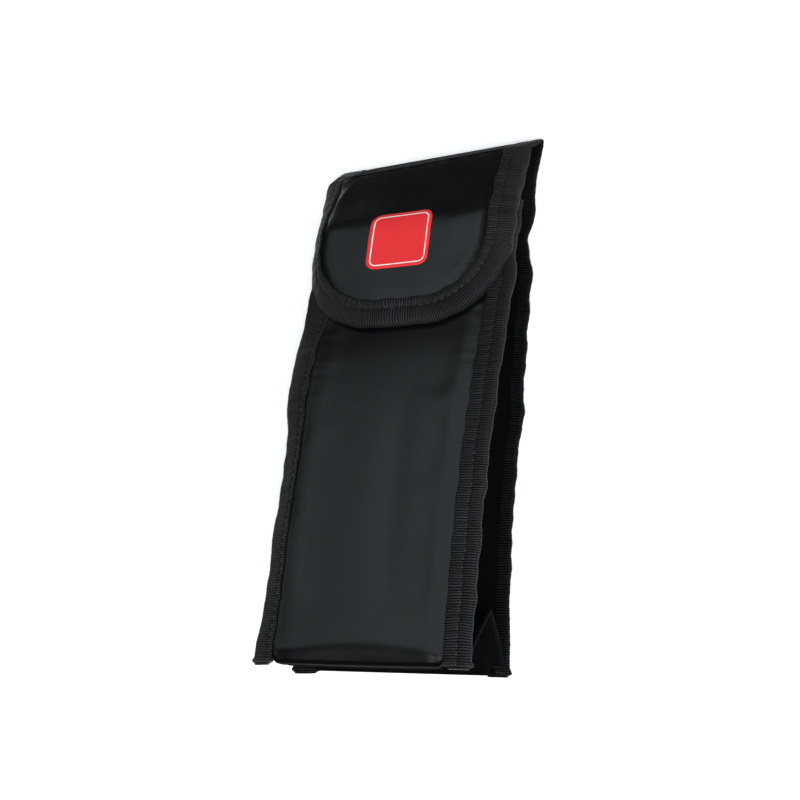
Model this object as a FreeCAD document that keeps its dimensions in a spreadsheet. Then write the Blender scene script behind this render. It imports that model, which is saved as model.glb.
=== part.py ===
import FreeCAD, Part
import os
import re
import math
import Sketcher

# X is the width, +Y runs to the flap end, +Z is out of the front; the case lies on its back.
# Lengths are millimetres and angles degrees.
SIZES = {
    "case_length": 210,
    "case_width": 87,
    "bottom_depth": 36,
    "mouth_depth": 9.6,
    "mouth_setback": 27,
    "front_bulge": 6,
    "outer_thickness": 0.6,
    "pad_thickness": 1.2,
    "lining_thickness": 0.3,
    "gusset_thickness": 0.4,
    "tape_thickness": 0.5,
    "tape_width": 10.5,
    "tape_end": 2.5,
    "layer_gap": 0.05,
    "sewn_clearance": 0.3,
    "seam_margin": 2,
    "seam_slope": 1.5,
    "pad_inset": 1,
    "pad_end_gap": 4,
    "bottom_thickness": 0.9,
    "pleat_height": 23,
    "pleat_inset": 1,
    "gusset_fold": 6,
    "gusset_mouth_fold": 1,
    "gusset_crease": 0.8,
    "fold_depth": 11,
    "fold_lean": 6.4,
    "bead_radius": 0.9,
    "hinge_clearance": 0.25,
    "flap_length": 73.5,
    "ridge_setback": 29.7,
    "ridge_height": 23.9,
    "ridge_radius": 30,
    "flap_corner_radius": 36,
    "closure_thickness": 1.7,
    "closure_width": 36,
    "closure_length": 16,
    "closure_setback": 14,
    "closure_clearance": 0.7,
    "badge_width": 24,
    "badge_height": 24,
    "badge_corner": 4,
    "badge_thickness": 0.3,
    "badge_shift": -3.5,
    "badge_drop": 36,
    "cut_overrun": 5,
}

# Sizes that follow from the ones above, each as an expression on their names.
DERIVED = {
    "half_length": "case_length / 2",
    "half_width": "case_width / 2",
    "seam_line": "half_width - tape_width",
    "step_line": "seam_line - seam_margin",
    "crown_line": "step_line - seam_slope",
    "edge_line": "half_width - tape_thickness - layer_gap",
    # levels through a bound edge, counted from the outside in
    "outer_seam": "tape_thickness + layer_gap",
    "lining_seam": "outer_seam + outer_thickness + layer_gap",
    "gusset_seam": "lining_seam + lining_thickness + layer_gap",
    "inner_tape": "gusset_seam + gusset_thickness + layer_gap",
    "flange_thickness": "inner_tape + tape_thickness",
    # levels through the padded middle of a panel
    "pad_level": "outer_thickness + layer_gap",
    "lining_level": "pad_level + pad_thickness + layer_gap",
    "panel_thickness": "lining_level + lining_thickness",
    # bottom: tight folds at front and back, pleat between them
    "bottom_fold": "(flange_thickness + sewn_clearance + bottom_thickness) / 2",
    "base_line": "tape_end + bottom_fold - half_length",
    "pleat_middle": "bottom_depth / 2",
    "pleat_half": "pleat_middle - flange_thickness - sewn_clearance",
    "pleat_leg": "sqrt(pleat_half ^ 2 + pleat_height ^ 2)",
    # front: an arc from the bottom fold to the mouth
    "mouth_line": "half_length - mouth_setback",
    "chord_run": "mouth_line - base_line",
    "chord_drop": "bottom_depth - mouth_depth",
    "chord": "sqrt(chord_run ^ 2 + chord_drop ^ 2)",
    "front_radius": "(chord ^ 2 / 4 + front_bulge ^ 2) / (2 * front_bulge)",
    "center_reach": "front_radius - front_bulge",
    "center_y": "(mouth_line + base_line) / 2 - center_reach * chord_drop / chord",
    "center_z": "(bottom_depth + mouth_depth) / 2 - center_reach * chord_run / chord",
    "mouth_angle": "atan((mouth_line - center_y) / (mouth_depth - center_z))",
    "front_length": "2 * front_radius * asin(chord / (2 * front_radius)) / 1 rad",
    "front_end": "front_length - sewn_clearance",
    "gusset_low": "base_line + sewn_clearance",
    "gusset_high": "mouth_line - 4 * sewn_clearance",
    # fold over the mouth, with a hinge line along each of its edges
    "fold_thickness": "2 * tape_thickness + outer_thickness + lining_thickness + 3 * layer_gap",
    "hinge_inset": "fold_thickness / 2",
    "hinge_y": "half_length - bead_radius",
    "flap_hinge_y": "hinge_y - fold_lean",
    "flap_hinge_z": "fold_depth - hinge_inset",
    "fold_rise": "flap_hinge_z - hinge_inset",
    "fold_angle": "atan(fold_lean / fold_rise)",
    "hinge_reach": "bead_radius + hinge_clearance",
    "hinge_gap": "hinge_inset / cos(fold_angle) + sewn_clearance",
    "hinge_end": "hinge_y - hinge_gap - (flange_thickness - hinge_inset) * tan(fold_angle)",
    # flap: up from the fold to a ridge over the mouth, then on to lie on the closure
    "flap_top": "flap_hinge_y + hinge_inset",
    "flap_start": "flap_hinge_y - hinge_reach - sewn_clearance",
    "flap_tip": "flap_top - flap_length",
    "flap_pad_level": "outer_seam + outer_thickness + layer_gap",
    "flap_lining_level": "flap_pad_level + pad_thickness + layer_gap",
    "flap_inside": "flap_lining_level + lining_thickness",
    "flap_thickness": "flap_inside + layer_gap + tape_thickness",
    "closure_low": "flap_tip + closure_setback",
    "closure_high": "closure_low + closure_length",
    "closure_slope": "asin((closure_low - center_y) / front_radius)",
    "closure_stack": "flap_inside + 2 * (layer_gap + closure_thickness) + closure_clearance",
    "closure_face": "center_z + front_radius * cos(closure_slope) + closure_stack / cos(closure_slope)",
    "ridge_line": "flap_top - ridge_setback",
    "flap_rise": "atan((ridge_height - fold_depth) / (flap_hinge_y - ridge_line))",
    "flap_tilt": "atan((closure_face - ridge_height) / (ridge_line - closure_low))",
    "ridge_tangent": "ridge_radius * tan((flap_rise - flap_tilt) / 2)",
    "ridge_y": "ridge_line + ridge_tangent * cos(flap_rise) - ridge_radius * sin(flap_rise)",
    "ridge_z": "ridge_height - ridge_tangent * sin(flap_rise) - ridge_radius * cos(flap_rise)",
    "badge_middle": "flap_top - badge_drop",
}

GUSSET_SHARES = (0, 0.25, 0.5, 0.75, 1)
WORD = re.compile(r"[a-z][a-z_]*")

doc = FreeCAD.newDocument("soft_case")
sheet = doc.addObject("Spreadsheet::Sheet", "dims")
for row, (name, size) in enumerate(SIZES.items(), 1):
    sheet.set("A%d" % row, name)
    sheet.set("B%d" % row, str(size))
    sheet.setAlias("B%d" % row, name)
doc.recompute()


def expand(text):
    """Write an expression on size names as one on the sheet's cells."""
    def swap(match):
        word = match.group(0)
        if word in SIZES:
            return "dims." + word
        if word in DERIVED:
            return "(" + expand(DERIVED[word]) + ")"
        return word
    return WORD.sub(swap, str(text))


def amount(text):
    """The present value of an expression on size names."""
    result = sheet.evalExpression(expand(text))
    return float(getattr(result, "Value", result))


def new_body(label):
    body = doc.addObject("PartDesign::Body", label)
    body.Label = label
    return body


def origin_feature(body, role):
    return [item for item in body.Origin.OriginFeatures if item.Role == role][0]


def new_sketch(body, role, label):
    sketch = body.newObject("Sketcher::SketchObject", body.Label + "_" + label)
    sketch.AttachmentSupport = (origin_feature(body, role), [""])
    sketch.MapMode = "FlatFace"
    return sketch


def fix_point(sketch, index, position, x_text, y_text):
    """Hold one end of a sketch line at a place given by two expressions."""
    for kind, text in (("DistanceX", x_text), ("DistanceY", y_text)):
        rule = Sketcher.Constraint(kind, -1, 1, index, position, amount(text))
        sketch.setExpression("Constraints[%d]" % sketch.addConstraint(rule), expand(text))


def fix_radius(sketch, index, text):
    rule = Sketcher.Constraint("Radius", index, amount(text))
    sketch.setExpression("Constraints[%d]" % sketch.addConstraint(rule), expand(text))


def arc_between(start, end, radius, turn):
    """The short arc from start to end; turn is 1 when it runs counter-clockwise."""
    chord = end - start
    reach = math.sqrt(max(radius ** 2 - chord.Length ** 2 / 4, 0))
    side = FreeCAD.Vector(-chord.y, chord.x, 0).normalize()
    center = (start + end) / 2 + side * reach * turn
    first, last = (start, end) if turn > 0 else (end, start)
    from_angle = math.atan2(first.y - center.y, first.x - center.x)
    to_angle = math.atan2(last.y - center.y, last.x - center.x)
    circle = Part.Circle(center, FreeCAD.Vector(0, 0, 1), radius)
    return Part.ArcOfCircle(circle, from_angle, to_angle)


def add_outline(sketch, corners):
    """Close an outline through corners (x, y) or (x, y, radius, turn) with an arc to the next."""
    points = [FreeCAD.Vector(amount(corner[0]), amount(corner[1]), 0) for corner in corners]
    heads, tails = [], []
    for place, corner in enumerate(corners):
        start = points[place]
        end = points[(place + 1) % len(points)]
        if len(corner) == 2:
            index = sketch.addGeometry(Part.LineSegment(start, end), False)
            heads.append((index, 1))
            tails.append((index, 2))
            continue
        index = sketch.addGeometry(arc_between(start, end, amount(corner[2]), corner[3]), False)
        heads.append((index, 1 if corner[3] > 0 else 2))
        tails.append((index, 2 if corner[3] > 0 else 1))
        fix_radius(sketch, index, corner[2])
    for place, corner in enumerate(corners):
        sketch.addConstraint(Sketcher.Constraint("Coincident", *tails[place - 1], *heads[place]))
        fix_point(sketch, *heads[place], corner[0], corner[1])


def add_circle(sketch, x_text, y_text, radius):
    center = FreeCAD.Vector(amount(x_text), amount(y_text), 0)
    circle = Part.Circle(center, FreeCAD.Vector(0, 0, 1), amount(radius))
    index = sketch.addGeometry(circle, False)
    fix_point(sketch, index, 3, x_text, y_text)
    fix_radius(sketch, index, radius)


def add_feature(body, kind, sketch, **bound):
    """Add one feature to a body; values given as text are bound to the sheet."""
    feature = body.newObject("PartDesign::" + kind, body.Label + "_" + kind.lower())
    feature.Profile = sketch
    for field, value in bound.items():
        if field in ("Length", "Angle"):
            feature.setExpression(field, expand(value))
        else:
            setattr(feature, field, value)
    body.Tip = feature
    doc.recompute()
    return feature


def place(body, y_text, z_text, angle_text=None):
    """Set a body down; the angle tips its +Y end towards the floor."""
    if angle_text:
        body.Placement.Rotation = FreeCAD.Rotation(FreeCAD.Vector(-1, 0, 0), amount(angle_text))
        body.setExpression("Placement.Rotation.Angle", expand(angle_text))
    body.setExpression("Placement.Base.y", expand(y_text))
    body.setExpression("Placement.Base.z", expand(z_text))


def back_level(text):
    return "(%s)" % text


def front_level(text):
    return "front_radius - (%s)" % text


def add_profile(body, label, corners, level):
    sketch = new_sketch(body, "XZ_Plane", label)
    add_outline(sketch, [(across, level(depth)) for across, depth in corners])
    return sketch


def back_piece(label, corners, low, high):
    """A piece of the back: a cross-section run along the case between two lines."""
    body = new_body(label)
    place(body, high, "0")
    sketch = add_profile(body, "section", corners, back_level)
    add_feature(body, "Pad", sketch, Length="(%s) - (%s)" % (high, low))
    return body


def front_turn(text):
    """The angle that a length along the front takes up."""
    return "(%s) / front_radius * 1 rad" % text


def front_piece(label, corners, start, end):
    """A piece of the front: a cross-section swung along its arc, measured from the mouth."""
    body = new_body(label)
    place(body, "center_y", "center_z", "mouth_angle - " + front_turn(start))
    sketch = add_profile(body, "section", corners, front_level)
    add_feature(body, "Revolution", sketch, ReferenceAxis=(origin_feature(body, "X_Axis"), [""]),
                Angle=front_turn("(%s) - (%s)" % (end, start)))
    return body


def stepped(middle, seam, thickness):
    """A layer that lies at one level in the middle and at another under the tapes."""
    lower = [("edge_line", seam), ("step_line", seam), ("crown_line", middle)]
    lower = [("-(%s)" % across, depth) for across, depth in lower] + lower[::-1]
    upper = [(across, "%s + %s" % (depth, thickness)) for across, depth in lower[::-1]]
    return lower + upper


def band(half, low, high):
    return [("-(%s)" % half, low), (half, low), (half, high), ("-(%s)" % half, high)]


def side_band(side, near, far, low, high):
    near, far = ["%s(%s)" % (side, text) for text in (near, far)]
    return [(near, low), (far, low), (far, high), (near, high)]


OUTER = stepped("0", "outer_seam", "outer_thickness")
LINING = stepped("lining_level", "lining_seam", "lining_thickness")
PAD = band("crown_line - pad_inset", "pad_level", "pad_level + pad_thickness")
SIDES = {"left": "-", "right": ""}
nodes = []


# Back panel, with a round bead along its top that the fold turns on.
back_low = "base_line + sewn_clearance"
back_outer = back_piece("back_outer", OUTER, back_low, "hinge_y")
bead = new_sketch(back_outer, "YZ_Plane", "bead")
add_circle(bead, "0", "hinge_inset", "bead_radius")
add_feature(back_outer, "Pad", bead, SideType="Symmetric", Length="2 * step_line")
nodes.append(back_outer)
nodes.append(back_piece("back_pad", PAD, back_low + " + pad_end_gap", "hinge_end - pad_end_gap"))
nodes.append(back_piece("back_lining", LINING, back_low, "hinge_end"))

# Front panel.
nodes.append(front_piece("front_outer", OUTER, "0", "front_end"))
nodes.append(front_piece("front_pad", PAD, "pad_end_gap", "front_end - pad_end_gap"))
nodes.append(front_piece("front_lining", LINING, "0", "front_end"))

# Tape on the sides of both panels: a block with a slot for the edge, closed at the bottom.
for word, side in SIDES.items():
    block = side_band(side, "seam_line", "half_width", "0", "flange_thickness")
    slot = side_band(side, "seam_line - cut_overrun", "half_width - tape_thickness",
                     "tape_thickness", "inner_tape")
    back_tape = back_piece("back_%s_binding" % word, block, "-half_length", "hinge_end")
    sketch = add_profile(back_tape, "slot", slot, back_level)
    add_feature(back_tape, "Pocket", sketch, Reversed=True,
                Length="hinge_end + half_length - tape_end")
    tape_run = "front_length + bottom_fold"
    front_tape = front_piece("front_%s_binding" % word, block, "0", tape_run + " + tape_end")
    sketch = add_profile(front_tape, "slot", slot, front_level)
    add_feature(front_tape, "Groove", sketch, Angle=front_turn(tape_run),
                ReferenceAxis=(origin_feature(front_tape, "X_Axis"), [""]))
    nodes.extend((back_tape, front_tape))

# Tape over the front panel's top edge.
mouth_tape = new_body("mouth_binding")
place(mouth_tape, "mouth_line", "mouth_depth", "mouth_angle")
mouth_gap = "2 * layer_gap"
mouth_face = mouth_gap + " + tape_thickness"
mouth_back = "-(panel_thickness + %s)" % mouth_gap
sketch = new_sketch(mouth_tape, "YZ_Plane", "section")
add_outline(sketch, [
    ("-tape_width", mouth_face), (mouth_face, mouth_face),
    (mouth_face, mouth_back + " - tape_thickness"), ("-tape_width", mouth_back + " - tape_thickness"),
    ("-tape_width", mouth_back), (mouth_gap, mouth_back),
    (mouth_gap, mouth_gap), ("-tape_width", mouth_gap),
])
add_feature(mouth_tape, "Pad", sketch, SideType="Symmetric",
            Length="2 * (step_line - sewn_clearance)")
nodes.append(mouth_tape)

# Loop half of the closure, on the front under the flap.
loop_start = "mouth_line - closure_high"
nodes.append(front_piece("loop_patch",
                         band("closure_width / 2", "-layer_gap - closure_thickness", "-layer_gap"),
                         loop_start, loop_start + " + closure_length"))


def pleat_corners(margin):
    """The pleat's outline grown by a margin, as half its foot and its height."""
    foot = "pleat_half + (%s) * pleat_leg / pleat_height" % margin
    peak = "base_line + pleat_height + (%s) * pleat_leg / pleat_half" % margin
    return foot, peak


# Bottom: folded tight at front and back and pleated up between them.
pleat = new_body("bottom_pleat")
foot, peak = pleat_corners("0")
inner_foot, inner_peak = pleat_corners("-bottom_thickness")
sketch = new_sketch(pleat, "YZ_Plane", "section")
add_outline(sketch, [
    ("base_line", "pleat_middle - (%s)" % foot), (peak, "pleat_middle"),
    ("base_line", "pleat_middle + %s" % foot), ("base_line", "pleat_middle + %s" % inner_foot),
    (inner_peak, "pleat_middle"), ("base_line", "pleat_middle - (%s)" % inner_foot),
])
add_feature(pleat, "Pad", sketch, SideType="Symmetric", Length="case_width - 2 * pleat_inset")
for label, level in (("back", "bottom_fold"), ("front", "bottom_depth - bottom_fold")):
    inner_fold = "(bottom_fold - bottom_thickness)"
    sketch = new_sketch(pleat, "YZ_Plane", label + "_fold")
    add_outline(sketch, [
        ("base_line", level + " - bottom_fold"),
        ("base_line", "%s - %s" % (level, inner_fold), inner_fold, -1),
        ("base_line - " + inner_fold, level, inner_fold, -1),
        ("base_line", "%s + %s" % (level, inner_fold)),
        ("base_line", level + " + bottom_fold", "bottom_fold", 1),
        ("base_line - bottom_fold", level, "bottom_fold", 1),
    ])
    add_feature(pleat, "Pad", sketch, SideType="Symmetric", Length="2 * step_line")
nodes.append(pleat)


def front_height(along, depth):
    """Height of a level of the front at a line across the case."""
    return "center_z + sqrt((front_radius - (%s)) ^ 2 - (%s - center_y) ^ 2)" % (depth, along)


# Gussets: sewn into the bound edges at front and back, creased inward, cut over the pleat.
for word, side in SIDES.items():
    gusset = new_body(word + "_gusset")
    sections = []
    for count, share in enumerate(GUSSET_SHARES):
        along = "(gusset_low + (gusset_high - gusset_low) * %s)" % share
        low = "gusset_seam"
        low_top = "gusset_seam + gusset_thickness"
        high = front_height(along, "gusset_seam")
        high_foot = front_height(along, "gusset_seam + gusset_thickness")
        bend = "seam_line - sewn_clearance"
        crease = "%s - (gusset_fold + (gusset_mouth_fold - gusset_fold) * %s)" % (bend, share)
        halfway = "(%s + %s) / 2" % (low_top, high_foot)
        path = [("edge_line", low), (bend + " - gusset_crease", low),
                (crease + " - gusset_crease", halfway), (bend + " - gusset_crease", high),
                ("edge_line", high), ("edge_line", high_foot), (bend, high_foot),
                (crease, halfway), (bend, low_top), ("edge_line", low_top)]
        sketch = new_sketch(gusset, "XZ_Plane", "section_%d" % count)
        sketch.setExpression("AttachmentOffset.Base.z", expand("-" + along))
        add_outline(sketch, [("%s(%s)" % (side, across), height) for across, height in path])
        sections.append(sketch)
    doc.recompute()
    add_feature(gusset, "AdditiveLoft", sections[0], Sections=sections[1:])
    foot, peak = pleat_corners("sewn_clearance")
    sketch = new_sketch(gusset, "YZ_Plane", "pleat_cut")
    add_outline(sketch, [
        ("base_line - cut_overrun", "pleat_middle - (%s)" % foot),
        ("base_line", "pleat_middle - (%s)" % foot), (peak, "pleat_middle"),
        ("base_line", "pleat_middle + %s" % foot),
        ("base_line - cut_overrun", "pleat_middle + %s" % foot),
    ])
    add_feature(gusset, "Pocket", sketch, SideType="Symmetric", Type="ThroughAll")
    nodes.append(gusset)


def fold_piece(label, corners):
    """A piece of the fold: a cross-section run between the two hinge lines, leaning over the mouth."""
    body = new_body(label)
    place(body, "hinge_y - hinge_reach * sin(fold_angle) + hinge_inset * cos(fold_angle)",
          "hinge_inset + hinge_reach * cos(fold_angle) + hinge_inset * sin(fold_angle)", "-fold_angle")
    sketch = new_sketch(body, "XY_Plane", "section")
    add_outline(sketch, [(across, "-(%s)" % depth) for across, depth in corners])
    add_feature(body, "Pad", sketch, Length="fold_rise / cos(fold_angle) - 2 * hinge_reach")
    return body


# Fold over the mouth.
nodes.append(fold_piece("fold_outer", band("edge_line", "outer_seam", "outer_seam + outer_thickness")))
nodes.append(fold_piece("fold_lining", band("edge_line", "lining_seam",
                                            "lining_seam + lining_thickness")))
for word, side in SIDES.items():
    across = ["%s(%s)" % (side, text) for text in ("seam_line", "half_width - tape_thickness", "half_width")]
    inner_leg = "fold_thickness - tape_thickness"
    nodes.append(fold_piece("fold_%s_binding" % word, [
        (across[0], "0"), (across[2], "0"), (across[2], "fold_thickness"),
        (across[0], "fold_thickness"), (across[0], inner_leg), (across[1], inner_leg),
        (across[1], "tape_thickness"), (across[0], "tape_thickness"),
    ]))


def flap_edge(start, depth):
    """Points of the flap at a depth below its face: its start, the ridge's two ends, past its tip."""
    radius = "(ridge_radius - %s)" % depth
    start_z = "fold_depth + (flap_hinge_y - (%s)) * tan(flap_rise) - %s / cos(flap_rise)" % (start, depth)
    ends = [("(ridge_y + %s * sin(%s))" % (radius, slope), "(ridge_z + %s * cos(%s))" % (radius, slope))
            for slope in ("flap_rise", "flap_tilt")]
    run_z = "%s + (%s - flap_tip + cut_overrun) * tan(flap_tilt)" % (ends[1][1], ends[1][0])
    return radius, (start, start_z), ends[0], ends[1], ("flap_tip - cut_overrun", run_z)


def flap_outline(inset):
    """The flap's plan: straight sides and two round corners, drawn in by an inset."""
    half = "(half_width - (%s))" % inset
    tip = "flap_tip + " + inset
    corner = "(flap_corner_radius - (%s))" % inset
    return [("-" + half, "half_length"), ("-" + half, tip + " + " + corner, corner, 1),
            ("-%s + %s" % (half, corner), tip), ("%s - %s" % (half, corner), tip, corner, 1),
            (half, tip + " + " + corner), (half, "half_length")]


def patch_outline(middle, half, low, high, corner):
    left = "%s - %s" % (middle, half)
    right = "%s + %s" % (middle, half)
    return [(left, "%s + %s" % (low, corner), corner, 1), ("%s + %s" % (left, corner), low),
            ("%s - %s" % (right, corner), low, corner, 1), (right, "%s + %s" % (low, corner)),
            (right, "%s - %s" % (high, corner), corner, 1), ("%s - %s" % (right, corner), high),
            ("%s + %s" % (left, corner), high, corner, 1), (left, "%s - %s" % (high, corner))]


def flap_piece(label, face, under, start, outline):
    """A layer of the flap between two depths, cut to a plan."""
    body = new_body(label)
    radius, first, rise_end, fall_start, last = flap_edge(start, face)
    outline_points = [first, rise_end + (radius, 1), fall_start, last]
    radius, first, rise_end, fall_start, last = flap_edge(start, under)
    outline_points += [last, fall_start + (radius, -1), rise_end, first]
    sketch = new_sketch(body, "YZ_Plane", "section")
    add_outline(sketch, outline_points)
    add_feature(body, "Pad", sketch, SideType="Symmetric", Length="case_width + cut_overrun")
    sketch = new_sketch(body, "XY_Plane", "plan")
    add_outline(sketch, patch_outline("0", "(case_width + cut_overrun)", "(flap_tip - 2 * cut_overrun)",
                                      "(half_length + 2 * cut_overrun)", "cut_overrun"))
    add_outline(sketch, outline)
    add_feature(body, "Pocket", sketch, SideType="Symmetric", Type="ThroughAll")
    return body


# Flap, with a round bead along the fold that it turns on.
layer_plan = flap_outline("(tape_thickness + layer_gap)")
flap_outer = flap_piece("flap_outer", "outer_seam", "(outer_seam + outer_thickness)", "flap_hinge_y", layer_plan)
bead = new_sketch(flap_outer, "YZ_Plane", "bead")
add_circle(bead, "flap_hinge_y", "flap_hinge_z", "bead_radius")
add_feature(flap_outer, "Pad", bead, SideType="Symmetric", Length="2 * step_line")
nodes.append(flap_outer)
nodes.append(flap_piece("flap_pad", "flap_pad_level", "(flap_pad_level + pad_thickness)",
                        "flap_start - pad_inset", layer_plan))
nodes.append(flap_piece("flap_lining", "flap_lining_level", "flap_inside", "flap_start", layer_plan))

# Tape round the flap: a band as thick as the bound edge, with a slot for the layers.
tape_block = flap_piece("flap_tape_block", "0", "flap_thickness", "flap_start", flap_outline("0"))
sketch = new_sketch(tape_block, "XY_Plane", "window")
window = flap_outline("tape_width")
window = [(across, along + " + cut_overrun" if along == "half_length" else along, *rest)
          for across, along, *rest in window]
add_outline(sketch, window)
add_feature(tape_block, "Pocket", sketch, SideType="Symmetric", Type="ThroughAll")
tape_slot = flap_piece("flap_tape_slot", "tape_thickness", "(flap_thickness - tape_thickness)",
                       "flap_hinge_y", flap_outline("tape_thickness"))
flap_tape = doc.addObject("Part::Cut", "flap_binding")
flap_tape.Base = tape_block
flap_tape.Tool = tape_slot
flap_tape.Label = "flap_binding"
nodes.append(flap_tape)

# Hook half of the closure under the flap, and the plain label on it.
nodes.append(flap_piece("hook_patch", "(flap_inside + layer_gap)",
                        "(flap_inside + layer_gap + closure_thickness)", "flap_start",
                        patch_outline("0", "closure_width / 2", "closure_low", "closure_high",
                                      "badge_corner / 2")))
nodes.append(flap_piece("badge", "(tape_thickness - badge_thickness)", "tape_thickness", "flap_start",
                        patch_outline("badge_shift", "badge_width / 2",
                                      "(badge_middle - badge_height / 2)",
                                      "(badge_middle + badge_height / 2)", "badge_corner")))

doc.recompute()
for item in doc.Objects:
    if "Invalid" in item.State or "Error" in item.State:
        raise RuntimeError("%s did not build: %s" % (item.Label, item.State))
os.makedirs("parts", exist_ok=True)
for node in nodes:
    if node.Shape.isNull() or not node.Shape.isValid() or len(node.Shape.Solids) != 1:
        raise RuntimeError("%s is not one sound solid" % node.Label)
    node.Shape.exportStep("parts/%s.step" % node.Label)
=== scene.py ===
import math
import bpy
import bmesh
import numpy as np
from mathutils import Matrix, Vector


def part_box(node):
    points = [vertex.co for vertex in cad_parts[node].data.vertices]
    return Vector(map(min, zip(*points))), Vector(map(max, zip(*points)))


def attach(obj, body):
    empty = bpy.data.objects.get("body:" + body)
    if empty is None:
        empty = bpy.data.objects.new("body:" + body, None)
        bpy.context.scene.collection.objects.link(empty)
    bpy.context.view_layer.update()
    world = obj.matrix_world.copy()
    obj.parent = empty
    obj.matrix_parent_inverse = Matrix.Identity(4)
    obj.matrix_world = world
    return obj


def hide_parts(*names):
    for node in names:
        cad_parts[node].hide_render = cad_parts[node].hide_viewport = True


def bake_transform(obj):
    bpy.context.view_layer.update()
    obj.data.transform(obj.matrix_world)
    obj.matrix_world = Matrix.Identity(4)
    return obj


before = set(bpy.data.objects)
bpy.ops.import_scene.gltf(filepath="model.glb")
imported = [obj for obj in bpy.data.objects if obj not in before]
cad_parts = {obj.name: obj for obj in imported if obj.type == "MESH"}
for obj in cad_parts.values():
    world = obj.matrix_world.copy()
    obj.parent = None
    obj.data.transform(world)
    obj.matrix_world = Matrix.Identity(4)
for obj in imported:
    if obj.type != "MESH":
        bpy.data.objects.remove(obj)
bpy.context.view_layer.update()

mm = 0.001  # pieces are worked out in millimetres
scene = bpy.context.scene
scene.view_settings.view_transform = "Standard"
print("frame: %d nodes" % len(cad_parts))

# camera at the photograph's angle; the case lies on its back, so the top of the picture is +Y
shot = {"lens": 67.5, "place": (0.25721, -0.15668, 0.50538),
        "back": (0.4506, -0.2678, 0.8516), "up": (0.056, 0.9605, 0.2725)}


def setCamera():
    eye = bpy.data.cameras.new("shotCamera")
    eye.lens = shot["lens"]
    eye.clip_start = 0.01
    camera = bpy.data.objects.new("shotCamera", eye)
    scene.collection.objects.link(camera)
    back = Vector(shot["back"]).normalized()
    up = Vector(shot["up"])
    up = (up - back * up.dot(back)).normalized()
    turn = Matrix((up.cross(back), up, back)).transposed().to_4x4()
    camera.matrix_world = Matrix.Translation(shot["place"]) @ turn
    scene.camera = camera


setCamera()


# shader maths: a Wire is one socket, and sums on it add Math nodes
class Wire:
    def __init__(self, tree, socket=None):
        self.tree = tree
        self.socket = socket

    def join(self, value, socket):
        if isinstance(value, Wire):
            self.tree.links.new(value.socket, socket)
        else:
            socket.default_value = value

    def maths(self, operation, other=None):
        made = self.tree.nodes.new("ShaderNodeMath")
        made.operation = operation
        for place, value in enumerate([self] if other is None else [self, other]):
            self.join(value, made.inputs[place])
        return Wire(self.tree, made.outputs[0])

    def __add__(self, other):
        return self.maths("ADD", other)

    def __sub__(self, other):
        return self.maths("SUBTRACT", other)

    def __mul__(self, other):
        return self.maths("MULTIPLY", other)

    __radd__ = __add__
    __rmul__ = __mul__

    # any other node: its type, its settings, then its sockets' values or links
    def node(self, kind, settings=None, values=None, out=0):
        made = self.tree.nodes.new(kind)
        for field, value in (settings or {}).items():
            setattr(made, field, value)
        for place, value in (values or {}).items():
            self.join(value, made.inputs[place])
        return Wire(self.tree, made.outputs[out])

    def mix(self, low, high):
        return self.node("ShaderNodeMix", {"data_type": "RGBA"}, {0: self, 6: low, 7: high}, 2)

    def bump(self, strength, distance):
        return self.node("ShaderNodeBump", None, {"Height": self, "Strength": strength, "Distance": distance})


def newFinish(name, fixed, build):
    finish = bpy.data.materials.new(name)
    finish.use_nodes = True
    tree = finish.node_tree
    shader = tree.nodes["Principled BSDF"]
    wire = Wire(tree)
    values = dict(fixed)
    values.update(build(wire))
    for socket, value in values.items():
        wire.join(value, shader.inputs[socket])
    return finish


def grey(level, warm=0.0):
    return (level * (1 + warm), level, level * (1 - warm), 1)


def flatPlace(wire):
    place = wire.node("ShaderNodeUVMap", {"uv_map": "flat"})
    parts = wire.node("ShaderNodeSeparateXYZ", None, {0: place})
    return parts, Wire(wire.tree, parts.socket.node.outputs[1])


def cloud(wire, scale, detail=2.0):
    place = wire.node("ShaderNodeTexCoord", out=3)
    return wire.node("ShaderNodeTexNoise", None, {"Vector": place, "Scale": scale, "Detail": detail})


def weave(wire, pitch):
    u, v = flatPlace(wire)
    over = (u * (math.tau / pitch)).maths("SINE")
    under = (v * (math.tau / pitch)).maths("SINE")
    return over * under


# dark and light grey of each finish, and the tint of both
tones = {"coating": (0.00072, 0.00576, -0.12), "dull": (0.0013, 0.0045, -0.12), "ribs": (0.0004, 0.032, -0.1),
         "backRibsPaintedShade": (0.0004, 0.0144, -0.1), "gusset": (0.001, 0.0022, -0.2), "lining": (0.004, 0.009, 0.0),
         "lipHighlight": (0.01, 0.02, 0.0), "thread": (0.004, 0.012, 0.0), "pile": (0.004, 0.018, 0.0),
         "hooks": (0.005, 0.014, 0.0), "labelLine": (0.74, 0.86, 0.0)}


def greys(name):
    dark, light, warm = tones[name]
    return grey(dark, warm), grey(light, warm)


# this attribute lightens the cloth: wear at the folds, and a painted highlight at the pleat's rim and the
# front panel's bottom edge
def readWearAndHighlight(wire):
    return wire.node("ShaderNodeAttribute", {"attribute_name": "wearAndHighlight"}, out=2)


# satin coating over a fine plain weave
coating = {"rough": 0.17, "pitch": 0.00034}


def buildCoating(wire):
    blotch = cloud(wire, 34)
    grain = cloud(wire, 260)
    wearAndHighlight = readWearAndHighlight(wire)
    rough = coating["rough"] + blotch * 0.1 + grain * 0.04 + wearAndHighlight * 0.1
    height = weave(wire, coating["pitch"]) * 0.4 + grain * 0.15
    return {"Base Color": (blotch * 0.5 + wearAndHighlight * 0.9).mix(*greys("coating")), "Roughness": rough,
            "Normal": height.bump(0.05, 0.00022)}


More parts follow.
